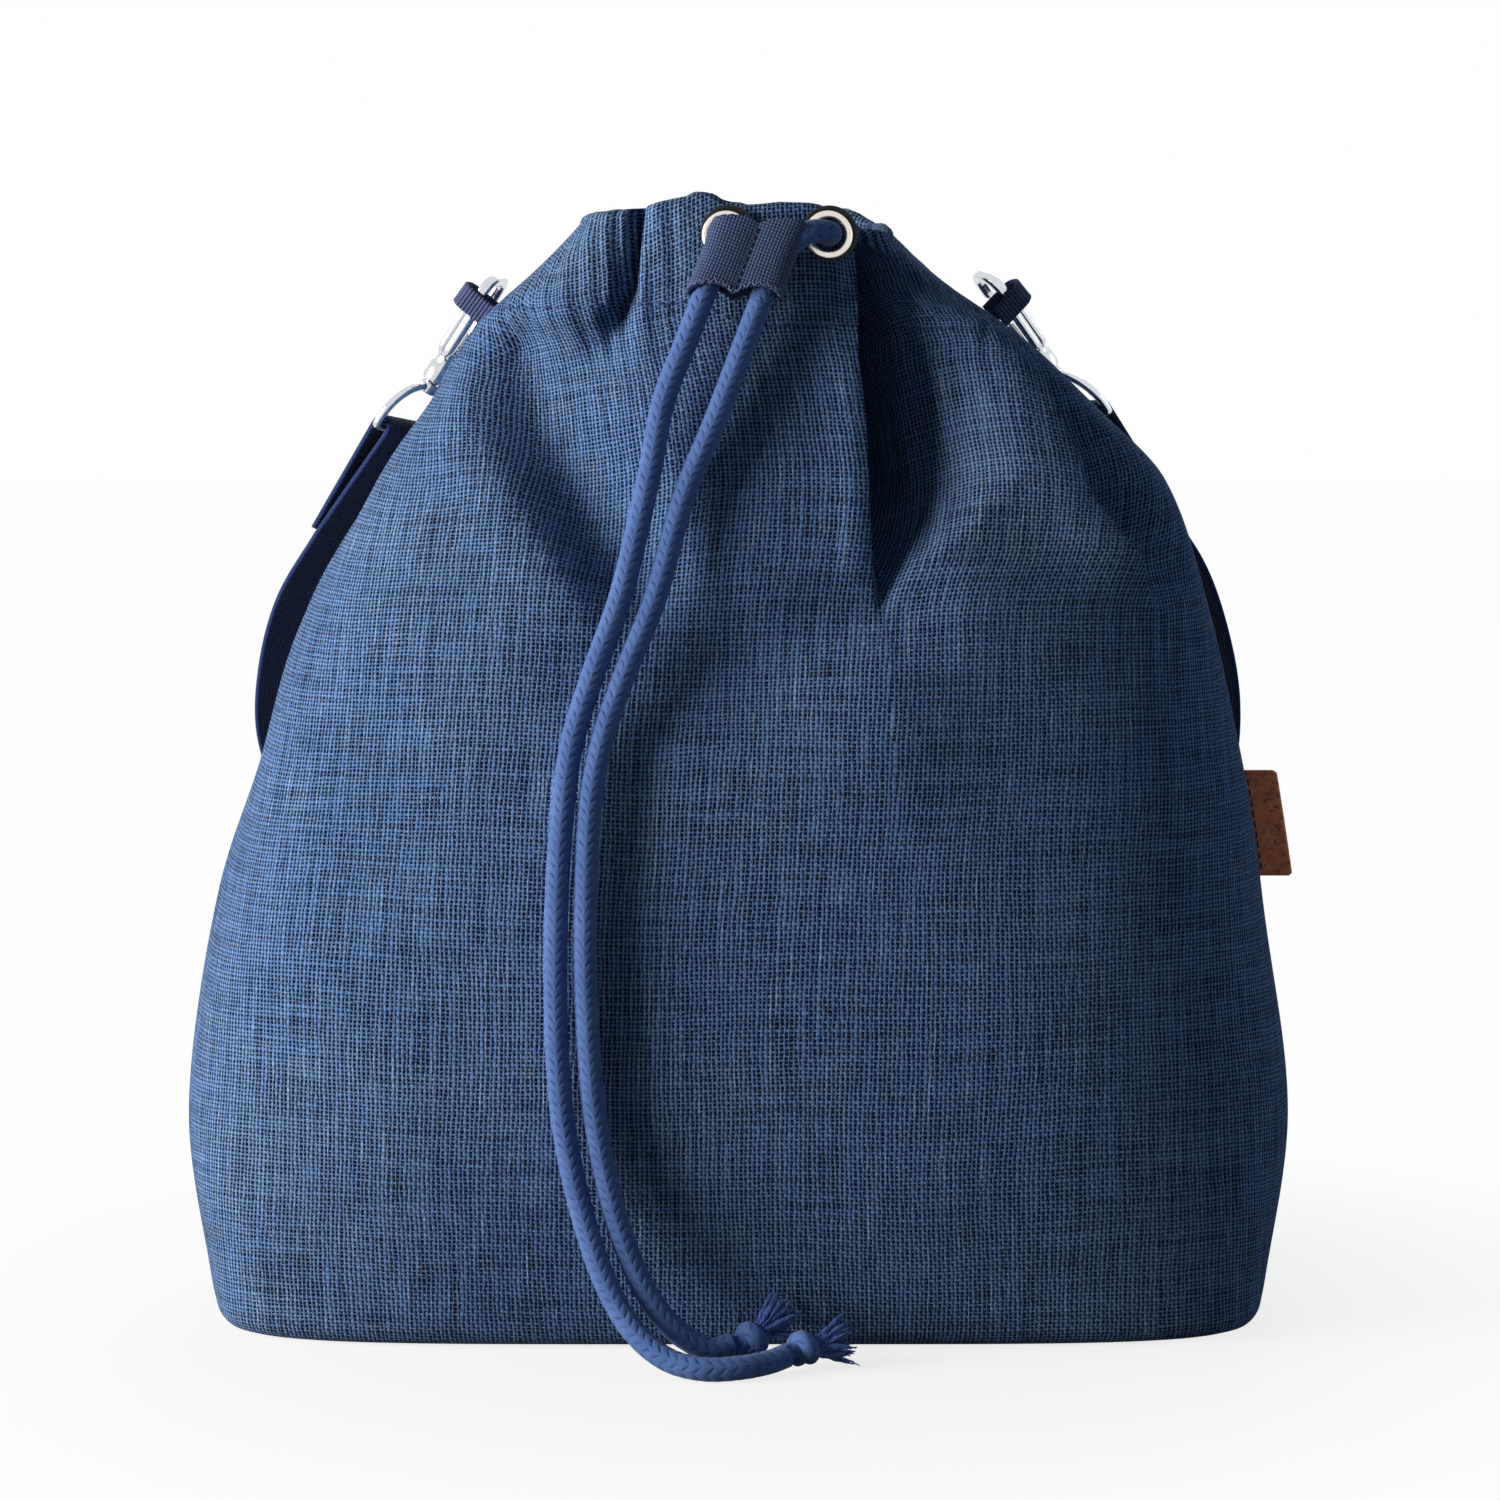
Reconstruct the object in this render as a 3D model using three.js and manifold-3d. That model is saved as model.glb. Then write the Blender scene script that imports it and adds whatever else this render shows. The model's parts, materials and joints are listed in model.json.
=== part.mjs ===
// A drawstring bag for a lunch box: woven outer bag on a flat base, lining, gathered neck with a braided
// drawcord, eyelets and a webbing cord slider, side tabs, and a carry strap on two swivel snap hooks.
// Millimetres, +Z up, front towards -Y, origin at the middle of the base on the floor.
import * as THREE from "three";
import { mergeVertices } from "three/addons/utils/BufferGeometryUtils.js";
import Module from "manifold-3d";

const wasm = await Module();
wasm.setup();

// Outer form of the bag
const bagHeight = 291;
const bagHalfWidth = 145.5;
const bagHalfDepth = 74;

// Its levels, as shares of those sizes: height, how far the cloth reaches to the left, the right and the front
// and back there, and how square the section is (2 is an ellipse).
const levels = [
  { height: 0, left: 0.935, right: 0.931, deep: 0.838, square: 5 },
  { height: 0.041, left: 0.955, right: 0.948, deep: 0.892, square: 4.4 },
  { height: 0.192, left: 1, right: 0.99, deep: 1, square: 3.3 },
  { height: 0.378, left: 0.942, right: 0.942, deep: 0.973, square: 2.9 },
  { height: 0.505, left: 0.866, right: 0.9, deep: 0.892, square: 2.6 },
  { height: 0.639, left: 0.777, right: 0.842, deep: 0.764, square: 2.4 },
  { height: 0.749, left: 0.65, right: 0.763, deep: 0.628, square: 2.3 },
  { height: 0.811, left: 0.567, right: 0.646, deep: 0.541, square: 2.3 },
  { height: 0.893, left: 0.467, right: 0.481, deep: 0.446, square: 2.4 },
  { height: 0.945, left: 0.371, right: 0.371, deep: 0.392, square: 2.6 },
  { height: 1, left: 0.275, right: 0.261, deep: 0.358, square: 2.8 },
];

// Creases that run down the front from the gathered neck: places across it, as shares of the bag's half width,
// and heights, as shares of its height
const creases = {
  groove: [
    [-0.515, 0], [-0.481, 0.412], [-0.412, 0.649], [-0.364, 0.718], [-0.3065, 0.804], [-0.2454, 0.876],
    [-0.1993, 0.924], [-0.189, 1],
  ],
  pleat: [
    [0.2887, 0], [0.2612, 0.412], [0.2337, 0.646], [0.2268, 0.694], [0.2192, 0.804], [0.2062, 0.859],
    [0.2048, 0.931], [0.1993, 1],
  ],
  shoulder: [
    [0.7698, 0], [0.7766, 0.412], [0.756, 0.601], [0.6969, 0.68], [0.6089, 0.737], [0.5636, 0.79],
    [0.512, 0.852], [0.4192, 0.904], [0.3162, 0.952], [0.2302, 1],
  ],
};
const grooveDepth = 5.5;
const pleatDepth = 19;
const pleatDrop = 5; // width of the pleat's steep side
const shoulderHeight = 6;
const shoulderDrop = 4;
const sagDepth = 4.2;

// Pleats of the back: share of the way from seam to seam, depth, and the share of the height where each dies out
const backPleats = [
  { share: 0.13, depth: 4.5, low: 0.674 },
  { share: 0.29, depth: 7, low: 0.612 },
  { share: 0.42, depth: 5, low: 0.701 },
  { share: 0.56, depth: 7.5, low: 0.591 },
  { share: 0.7, depth: 5.5, low: 0.68 },
  { share: 0.86, depth: 4.5, low: 0.653 },
];
const backPleatRise = 0.151; // share of the height in which a pleat comes to its full depth
const foldFade = [0.873, 0.914]; // shares of the height between which the folds run out below the casing

// Cloth
const clothThickness = 1.2;
const baseThickness = 1.5;
const liningThickness = 0.8;
const seamGap = 0.3; // air left between pieces that are sewn or lie against each other
const liningSlack = 1.3; // how loosely the lining hangs inside the cloth
const baseColumns = 24;
const sectionSteps = 180;
const liningColumns = 20;
const liningReach = 30; // degrees to each side in which the lining keeps clear of the folds

// Hem of the mouth, the inner wall of the drawcord casing
const hemHeight = 27;
const hemBulge = 11;
const hemEdgeGap = 0.7; // air between the hem's edges and the outer cloth
const hemRows = 5;

// Drawcord
const cordDiameter = 6;
const cordSides = 8;
const loopSteps = 72;
const tailSteps = 36;
const cordClearance = 0.5;
const casingCordInset = 6.2; // cord centre from the outer cloth, round the back and sides
const eyeletCordInset = 8.5; // cord centre from the outer cloth beside the eyelets
const knotDiameter = 10;
const tasselLength = 10;
const tasselDiameter = 11;

// Eyelets
const eyeletOuterDiameter = 12.5;
const eyeletRim = 2; // width of its flange
const eyeletWall = 0.6;
const eyeletFlange = 1.1;
const gasketRim = 1.05; // how far the gasket shows round the flange, on average
const gasketShift = 0.35; // it sits this much to the right and up
const gasketThickness = 0.6;
const washerThickness = 0.8;
const eyeletSides = 20;
const eyeletSeatRise = 0.5; // the flat gasket stands on the round of the collar
const eyeletBelowRim = 10;
const eyeletOffsets = { left: -3.6, right: 22.2 };

// Cord slider: a webbing sleeve sewn down its middle, open at the back near the top where the cords enter
const sliderLength = 19;
const sliderThroat = 8.5;
const sliderWall = 1.1;
const channelPitch = 14;
const sliderSkew = 0.3; // the soft sleeve is pulled up on the right and down on the left
const sliderFootX = -1.5;
const sliderFootBelow = 14.5; // from the eyelets' centres down to the slider's foot
const sliderStandOff = 8.5; // channel centres from the cloth
const cordLean = 21; // degrees sideways that the cords lean below the slider
const cordSlope = 13; // degrees forward, along the front of the bag
const cordRun = 32; // straight stretch of cord below the slider, on which it slides

// Side tabs, one folded piece of webbing behind each side seam
const tabBelowRim = 29;
const tabBehindSeam = 8;
const tabWidth = 7;
const tabThickness = 1.2;
const tabGap = 4.4;
const tabHoleLength = 6.6;
const tabRoot = 1;
const tabSeatGap = 0.6;

// Swivel snap hook
const hookEyeWidth = 9;
const hookEyeBelow = 17.5;
const hookBar = 2.6;
const hookThickness = 3;
const hookFlange = 4.6; // thickness of the front bar below the tab
const hookInnerRound = 2;
const hookBaseHeight = 9.5;
const hookBaseDiameter = 7;
const gateLength = 13;
const gateThickness = 1.2;
const gateBar = 1.8;
const gatePinDiameter = 1.4;
const gatePinClearance = 0.15;
const springThickness = 0.35;
const springWidth = 1;
const studDiameter = 2.6;
const studHeadDiameter = 5;
const studHeadHeight = 1.4;
const studClearance = 0.3;
const ringBossDiameter = 5.5;
const ringBossHeight = 3;
const ringWire = 2.3;
const ringSideRise = 1.5;
const ringTurn = -18; // degrees that the ring is turned on its stud from the hook's plate
const hookTopClearance = 0.8;

// Way each hook hangs from its tab, out to its own side, back and down
const hookHang = {
  left: { out: 0.54, back: 0.2, down: 0.82 },
  right: { out: 0.54, back: 0.4, down: 0.74 },
};

// Carry strap
const strapWidth = 20;
const strapThickness = 1.4;
const strapSideClearance = 0.6;
const strapFoldBack = 34;
const strapFoldSteps = 6;
const strapPlyGap = 0.5;
const strapSteps = 28;

// Route of the strap between its sewn ends, hanging behind the bag
const strapBow = [
  [-119.5, 35, 184], [-125.5, 42, 165], [-127, 52, 145], [-120, 65, 122], [-104, 76, 104], [-80, 85, 91],
  [-44, 91.5, 83], [0, 93, 81.5], [44, 91.5, 83], [81, 86, 90], [107, 79, 102], [124, 71, 118],
  [131, 62, 136], [131.5, 55, 155], [127.5, 50, 174], [120.5, 47, 192],
];

// Side label
const labelHeight = 28;
const labelReach = 9.5;
const labelThickness = 2;
const labelMiddle = 127;

// Finishes
const finish = (color, roughness, metalness) =>
  new THREE.MeshStandardMaterial({ color, roughness, metalness });
const wovenCloth = finish(0x2d5087, 0.92, 0);
const liningCloth = finish(0x24324f, 0.7, 0);
const braidedCord = finish(0x31508f, 0.85, 0);
const sliderWebbing = finish(0x46507a, 0.75, 0);
const tabWebbing = finish(0x3a4270, 0.75, 0);
const strapWebbing = finish(0x1c2138, 0.8, 0);
const nickel = finish(0xc9c4be, 0.3, 1);
const chrome = finish(0xe2e4e8, 0.12, 1);
const blackRubber = finish(0x0c0d12, 0.7, 0);
const springSteel = finish(0x9a9ca0, 0.35, 1);
const cork = finish(0x8e4a32, 0.85, 0);

const bag = new THREE.Group();
function addPart(name, geometry, material, parent = bag) {
  const part = new THREE.Mesh(geometry, material);
  part.name = name;
  parent.add(part);
  return part;
}

const toRadians = THREE.MathUtils.degToRad;
const xAxis = new THREE.Vector3(1, 0, 0);
const yAxis = new THREE.Vector3(0, 1, 0);
const zAxis = new THREE.Vector3(0, 0, 1);

// Closed geometry to a solid and back, for joins and cuts
function toSolid(geometry) {
  const bare = geometry.clone();
  bare.deleteAttribute("normal");
  bare.deleteAttribute("uv");
  const merged = mergeVertices(bare, 1e-4);
  return new wasm.Manifold(
    new wasm.Mesh({
      numProp: 3,
      vertProperties: new Float32Array(merged.attributes.position.array),
      triVerts: new Uint32Array(merged.index.array),
    }),
  );
}

function fromSolid(solid) {
  const mesh = solid.getMesh();
  const geometry = new THREE.BufferGeometry();
  geometry.setAttribute("position", new THREE.BufferAttribute(mesh.vertProperties, 3));
  geometry.setIndex(new THREE.BufferAttribute(mesh.triVerts, 1));
  geometry.computeVertexNormals();
  return geometry;
}

function cut(geometry, ...tools) {
  return fromSolid(tools.reduce((solid, tool) => solid.subtract(toSolid(tool)), toSolid(geometry)));
}

function join(geometry, ...others) {
  return fromSolid(others.reduce((solid, other) => solid.add(toSolid(other)), toSolid(geometry)));
}

function indexed(points, index) {
  const geometry = new THREE.BufferGeometry();
  const positions = points.flatMap((point) => [point.x, point.y, point.z]);
  geometry.setAttribute("position", new THREE.Float32BufferAttribute(positions, 3));
  geometry.setIndex(index);
  geometry.computeVertexNormals();
  return geometry;
}

// Two skins of points in rows and columns, joined along all four edges
function joinSkins(outer, inner) {
  const rows = outer.length;
  const columns = outer[0].length;
  const lastRow = rows - 1;
  const lastColumn = columns - 1;
  const front = (row, column) => row * columns + column;
  const behind = (row, column) => rows * columns + front(row, column);
  const index = [];
  const quad = (a, b, c, d) => index.push(a, b, c, a, c, d);
  for (let row = 0; row < lastRow; row++) {
    for (let column = 0; column < lastColumn; column++) {
      quad(
        front(row, column), front(row, column + 1),
        front(row + 1, column + 1), front(row + 1, column),
      );
      quad(
        behind(row, column), behind(row + 1, column),
        behind(row + 1, column + 1), behind(row, column + 1),
      );
    }
    quad(front(row, 0), front(row + 1, 0), behind(row + 1, 0), behind(row, 0));
    quad(
      behind(row, lastColumn), behind(row + 1, lastColumn),
      front(row + 1, lastColumn), front(row, lastColumn),
    );
  }
  for (let column = 0; column < lastColumn; column++) {
    quad(behind(0, column), behind(0, column + 1), front(0, column + 1), front(0, column));
    quad(
      front(lastRow, column), front(lastRow, column + 1),
      behind(lastRow, column + 1), behind(lastRow, column),
    );
  }
  return indexed([...outer.flat(), ...inner.flat()], index);
}

// A cup of closed rings, outer and inner, with a flat bottom inside and out
function joinCup(outer, inner) {
  const rings = outer.length;
  const sides = outer[0].length;
  const centre = (ring) => new THREE.Vector3(0, 0, ring[0].z);
  const points = [...outer.flat(), ...inner.flat(), centre(outer[0]), centre(inner[0])];
  const outside = (ring, side) => ring * sides + (side % sides);
  const inside = (ring, side) => rings * sides + outside(ring, side);
  const bottomOut = 2 * rings * sides;
  const bottomIn = bottomOut + 1;
  const index = [];
  const quad = (a, b, c, d) => index.push(a, b, c, a, c, d);
  for (let side = 0; side < sides; side++) {
    for (let ring = 0; ring < rings - 1; ring++) {
      quad(
        outside(ring, side), outside(ring, side + 1),
        outside(ring + 1, side + 1), outside(ring + 1, side),
      );
      quad(
        inside(ring, side), inside(ring + 1, side),
        inside(ring + 1, side + 1), inside(ring, side + 1),
      );
    }
    quad(
      outside(rings - 1, side), outside(rings - 1, side + 1),
      inside(rings - 1, side + 1), inside(rings - 1, side),
    );
    index.push(bottomOut, outside(0, side + 1), outside(0, side));
    index.push(bottomIn, inside(0, side), inside(0, side + 1));
  }
  return indexed(points, index);
}

// A round cord along a smooth curve through points
function cordTube(points, steps) {
  const section = new THREE.Shape().absarc(0, 0, cordDiameter / 2, 0, 2 * Math.PI);
  const extrudePath = new THREE.CatmullRomCurve3(points, false, "centripetal");
  return new THREE.ExtrudeGeometry(section, { steps, extrudePath, curveSegments: cordSides / 2 });
}

// A ribbon through points, with the way its width runs at each point
function ribbon(points, acrossEach, width, thickness) {
  const outer = [];
  const inner = [];
  points.forEach((point, i) => {
    const before = points[Math.max(i - 1, 0)];
    const after = points[Math.min(i + 1, points.length - 1)];
    const along = after.clone().sub(before).normalize();
    const across = acrossEach[i].clone().addScaledVector(along, -acrossEach[i].dot(along)).normalize();
    const away = across.clone().cross(along);
    const edge = (side, skin) =>
      point.clone().addScaledVector(across, (side * width) / 2).addScaledVector(away, (skin * thickness) / 2);
    outer.push([edge(-1, 1), edge(1, 1)]);
    inner.push([edge(-1, -1), edge(1, -1)]);
  });
  return joinSkins(outer, inner);
}

// Form of the bag

const stations = levels.map(({ height, left, right, deep, square }) => ({
  z: bagHeight * height,
  left: bagHalfWidth * left,
  right: bagHalfWidth * right,
  deep: bagHalfDepth * deep,
  square,
}));
const hemLow = bagHeight - hemHeight;
const eyeletHeight = bagHeight - eyeletBelowRim;

// Size of the bag at a height, on a smooth curve through the levels
function sizeAt(z, key) {
  const last = stations.length - 1;
  let i = 0;
  while (i < last - 1 && z > stations[i + 1].z) i++;
  const [a, b] = [stations[i], stations[i + 1]];
  const slope = (j) => {
    const [p, q] = [stations[Math.max(j - 1, 0)], stations[Math.min(j + 1, last)]];
    return (q[key] - p[key]) / (q.z - p.z);
  };
  const span = b.z - a.z;
  const t = (z - a.z) / span;
  const t2 = t * t;
  const t3 = t2 * t;
  const ends = (2 * t3 - 3 * t2 + 1) * a[key] + (3 * t2 - 2 * t3) * b[key];
  return ends + span * ((t3 - 2 * t2 + t) * slope(i) + (t3 - t2) * slope(i + 1));
}

// A point of the bag's section, turned in degrees from the right seam towards the back, and the way it faces
function bagPlace(degrees, z, inset) {
  const turn = toRadians(degrees);
  const c = Math.cos(turn);
  const s = Math.sin(turn);
  const square = sizeAt(z, "square");
  const power = 2 / square;
  const halfWidth = sizeAt(z, c < 0 ? "left" : "right") - inset;
  const halfDepth = sizeAt(z, "deep") - inset;
  const x = halfWidth * Math.sign(c) * Math.abs(c) ** power;
  const y = halfDepth * Math.sign(s) * Math.abs(s) ** power;
  const away = (value, half) => (Math.sign(value) * Math.abs(value / half) ** (square - 1)) / half;
  const facing = new THREE.Vector3(away(x, halfWidth), away(y, halfDepth), 0).normalize();
  return { point: new THREE.Vector3(x, y, z), facing };
}

const bagPoint = (degrees, z, inset) => bagPlace(degrees, z, inset).point;
const smooth = THREE.MathUtils.smoothstep;
const hump = (off, width) => Math.exp(-((off / width) ** 2));

// Value of a table at a place, straight between its rows
function lookUp(rows, from, to, value) {
  const last = rows.length - 1;
  let i = 1;
  while (i < last && rows[i][from] < value) i++;
  const [a, b] = [rows[i - 1], rows[i]];
  const share = Math.min(Math.max((value - a[from]) / (b[from] - a[from]), 0), 1);
  return a[to] + share * (b[to] - a[to]);
}

// Half of the section at a height: turn, length run from its first seam, and place across the bag
function halfSection(fromTurn, z) {
  let run = 0;
  let before = null;
  return Array.from({ length: sectionSteps + 1 }, (_, i) => {
    const turn = fromTurn + (180 * i) / sectionSteps;
    const point = bagPoint(turn, z, 0);
    if (before) run += point.distanceTo(before);
    before = point;
    return { turn, run, x: point.x };
  });
}

// How far the front is pushed out by its folds: length run along the section, and shares across and up the bag
function frontFold(run, marks, across, up) {
  const [groove, pleat, shoulder] = marks;
  const fromPleat = run - pleat;
  const pleatWide = 4 + 36 * smooth(up, 0.639, 0.777) * (1 - 0.62 * smooth(up, 0.838, 0.976));
  const recess = smooth(fromPleat, 0, pleatDrop) * (1 - smooth(fromPleat, pleatDrop, pleatWide + pleatDrop));
  const grooveWide = 2.6 + 19 * (1 - smooth(up, 0.739, 0.935));
  const fromShoulder = run - shoulder;
  const behind = smooth(fromShoulder, 0, shoulderDrop);
  const ridge = hump(Math.min(fromShoulder, 0), 17) * (1 - behind);
  const hollow = behind * (1 - smooth(fromShoulder, shoulderDrop, 24));
  const sagUp = 0.605 + 0.031 * smooth(across, 0, 0.275);
  const middle = smooth(across, -0.426, -0.206) * (1 - smooth(across, 0.247, 0.426));
  return (
    -pleatDepth * smooth(up, 0.632, 0.735) * recess -
    grooveDepth * smooth(up, 0.612, 0.763) * hump(run - groove, grooveWide) +
    shoulderHeight * smooth(up, 0.653, 0.735) * (0.85 * ridge - 0.75 * hollow) -
    sagDepth * middle * hump(up - sagUp, 0.045)
  );
}

function backFold(run, marks, up) {
  return backPleats.reduce((sum, { depth, low }, i) => {
    const width = 3 + 9 * (1 - smooth(up, low, 0.928));
    return sum - depth * smooth(up, low, low + backPleatRise) * hump(run - marks[i], width);
  }, 0);
}

// Columns of cloth at a height, crowded at the creases, with how far the folds push each one out
function clothColumns(fromTurn, z) {
  const rows = halfSection(fromTurn, z);
  const whole = rows[sectionSteps].run;
  const onFront = fromTurn === 180;
  const up = z / bagHeight;
  const marks = onFront
    ? Object.values(creases).map((line) => {
        const turn = turnOnFront(bagHalfWidth * lookUp(line, 1, 0, up), z);
        return lookUp(rows, "turn", "run", turn);
      })
    : backPleats.map(({ share }) => share * whole);
  const [, pleat, shoulder] = marks;
  const stops = onFront
    ? [0, marks[0], pleat, pleat + pleatDrop, shoulder, shoulder + shoulderDrop, whole]
    : [0, ...marks, whole];
  const counts = onFront ? [11, 8, 1, 5, 1, 8] : stops.slice(1).map(() => 4);
  const runs = counts.flatMap((count, i) =>
    Array.from({ length: count }, (_, k) => stops[i] + ((stops[i + 1] - stops[i]) * k) / count),
  );
  return [...runs, whole].map((run) => {
    const fade = smooth(Math.min(run, whole - run), 6, 26) * (1 - smooth(up, ...foldFade));
    const across = lookUp(rows, "run", "x", run) / bagHalfWidth;
    const fold = onFront ? frontFold(run, marks, across, up) : backFold(run, marks, up);
    return { turn: lookUp(rows, "run", "turn", run), out: fade * fold };
  });
}

// Turn round the bag of a place on its front
function turnOnFront(x, z) {
  const halfWidth = sizeAt(z, x < 0 ? "left" : "right");
  const c = Math.sign(x) * Math.abs(x / halfWidth) ** (sizeAt(z, "square") / 2);
  return 360 - THREE.MathUtils.radToDeg(Math.acos(c));
}

const slopeProbe = 0.5; // distance over which the slope of the cloth is measured

// The cloth's front at a place, and the way it faces
function frontFace(x, z) {
  const depthAt = (px, pz) => {
    const halfWidth = sizeAt(pz, px < 0 ? "left" : "right");
    const square = sizeAt(pz, "square");
    return -sizeAt(pz, "deep") * (1 - Math.abs(px / halfWidth) ** square) ** (1 / square);
  };
  const slopeX = (depthAt(x + slopeProbe, z) - depthAt(x - slopeProbe, z)) / (2 * slopeProbe);
  const slopeZ = (depthAt(x, z + slopeProbe) - depthAt(x, z - slopeProbe)) / (2 * slopeProbe);
  const facing = new THREE.Vector3(slopeX, -1, slopeZ).normalize();
  return { point: new THREE.Vector3(x, depthAt(x, z), z), facing };
}

// The cloth beside a side seam and the way it faces, as if that side were the left one
function sideFace(side, y, z) {
  const reachAt = (py, pz) => {
    const square = sizeAt(pz, "square");
    return sizeAt(pz, side) * (1 - Math.abs(py / sizeAt(pz, "deep")) ** square) ** (1 / square);
  };
  const slopeY = (reachAt(y + slopeProbe, z) - reachAt(y - slopeProbe, z)) / (2 * slopeProbe);
  const slopeZ = (reachAt(y, z + slopeProbe) - reachAt(y, z - slopeProbe)) / (2 * slopeProbe);
  const facing = new THREE.Vector3(-1, -slopeY, -slopeZ).normalize();
  return { point: new THREE.Vector3(-reachAt(y, z), y, z), facing };
}

// Outer cloth: front and back panels on a base panel

function clothSkin(fromTurn, heights, insetAt, shiftY) {
  return heights.map((z) =>
    clothColumns(fromTurn, z).map(({ turn, out }) => {
      const { point, facing } = bagPlace(turn, z, insetAt(z));
      point.addScaledVector(facing, out);
      point.y += shiftY;
      return point;
    }),
  );
}

const hemHeights = Array.from({ length: hemRows + 1 }, (_, row) => hemLow + (hemHeight * row) / hemRows);

// A row at each level and one halfway between, from the base up to the hem, then the rows of the hem
const levelHeights = stations.flatMap((station, i) => {
  if (i === 0) return [baseThickness + seamGap];
  return [(stations[i - 1].z + station.z) / 2, station.z];
});
const panelHeights = [...levelHeights.filter((z) => z < hemLow), ...hemHeights];

function clothPanel(fromTurn, shiftY) {
  const skin = (inset) => clothSkin(fromTurn, panelHeights, () => inset, shiftY);
  return joinSkins(skin(0), skin(clothThickness));
}

function eyeletSeat(x) {
  const { point, facing } = frontFace(x, eyeletHeight);
  return { point: point.addScaledVector(facing, eyeletSeatRise), facing };
}

const eyeletSeats = { left: eyeletSeat(eyeletOffsets.left), right: eyeletSeat(eyeletOffsets.right) };

const eyeletHoleRadius = eyeletOuterDiameter / 2 - eyeletRim;
const barrelRadius = eyeletHoleRadius + eyeletWall;

function eyeletHole(seat) {
  const clear = barrelRadius + seamGap;
  const through = 4 * (clothThickness + eyeletSeatRise);
  const hole = new THREE.CylinderGeometry(clear, clear, through, eyeletSides);
  hole.applyQuaternion(new THREE.Quaternion().setFromUnitVectors(yAxis, seat.facing));
  hole.translate(seat.point.x, seat.point.y, seat.point.z);
  return hole;
}

const frontCloth = cut(
  clothPanel(180, -seamGap / 2),
  eyeletHole(eyeletSeats.left),
  eyeletHole(eyeletSeats.right),
);
addPart("front_panel", frontCloth, wovenCloth);
addPart("back_panel", clothPanel(0, seamGap / 2), wovenCloth);

const baseCorners = Array.from({ length: 2 * baseColumns }, (_, i) => bagPoint((180 * i) / baseColumns, 0, 0));
const baseOutline = new THREE.Shape(baseCorners.map((point) => new THREE.Vector2(point.x, point.y)));
const basePlate = new THREE.ExtrudeGeometry(baseOutline, { depth: baseThickness, bevelEnabled: false });
addPart("base_panel", basePlate, wovenCloth);

// Lining bag, from the base to the hem

// The lining hangs loosely inside the folds near each place
function liningRings(inset, zLow) {
  const heights = panelHeights.filter((z) => z > zLow && z < hemLow - seamGap);
  return [zLow, ...heights, hemLow - seamGap].map((z) => {
    const cloth = [...clothColumns(0, z), ...clothColumns(180, z)];
    return Array.from({ length: liningColumns }, (_, i) => {
      const turn = (360 * i) / liningColumns;
      const near = cloth.filter((column) => {
        const apart = Math.abs(column.turn - turn) % 360;
        return Math.min(apart, 360 - apart) < liningReach;
      });
      const drawnIn = Math.max(...near.map(({ out }) => -out), 0);
      return bagPoint(turn, z, inset + drawnIn);
    });
  });
}

const liningInset = clothThickness + liningSlack;
const liningLow = baseThickness + seamGap;
const lining = joinCup(
  liningRings(liningInset, liningLow),
  liningRings(liningInset + liningThickness, liningLow + liningThickness),
);
addPart("lining", lining, liningCloth);

// Hem of the mouth: it stands off the outer cloth round the drawcord

function hem(fromTurn, shiftY) {
  const skin = (inset) => {
    const insetAt = (z) => {
      const up = (z - hemLow) / (bagHeight - hemLow);
      return clothThickness + hemEdgeGap + hemBulge * Math.sqrt(Math.max(Math.sin(Math.PI * up), 0)) + inset;
    };
    return clothSkin(fromTurn, hemHeights, insetAt, shiftY);
  };
  return joinSkins(skin(0), skin(clothThickness));
}

addPart("mouth_hem_front", hem(180, -seamGap / 2), wovenCloth);
addPart("mouth_hem_back", hem(0, seamGap / 2), wovenCloth);

// Eyelets: flanged barrel, dark gasket under the flange and clinch washer inside the cloth

const gasketLow = seamGap;
const flangeLow = gasketLow + gasketThickness + seamGap;
const flangeHigh = flangeLow + eyeletFlange;
const washerHigh = -eyeletSeatRise - clothThickness - 2 * seamGap;
const barrelLow = washerHigh - washerThickness;

function ringProfile(inner, outer, low, high) {
  const corners = [[inner, low], [outer, low], [outer, high], [inner, high], [inner, low]];
  return corners.map(([radius, height]) => new THREE.Vector2(radius, height));
}

const flangeRound = eyeletFlange / 2;
const eyeletProfile = [
  [eyeletHoleRadius, barrelLow],
  [barrelRadius, barrelLow],
  [barrelRadius, flangeLow],
  [eyeletOuterDiameter / 2, flangeLow],
  [eyeletOuterDiameter / 2, flangeHigh - flangeRound],
  [eyeletOuterDiameter / 2 - flangeRound, flangeHigh],
  [eyeletHoleRadius + flangeRound, flangeHigh],
  [eyeletHoleRadius, flangeHigh - flangeRound],
  [eyeletHoleRadius, barrelLow],
].map(([radius, height]) => new THREE.Vector2(radius, height));

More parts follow.
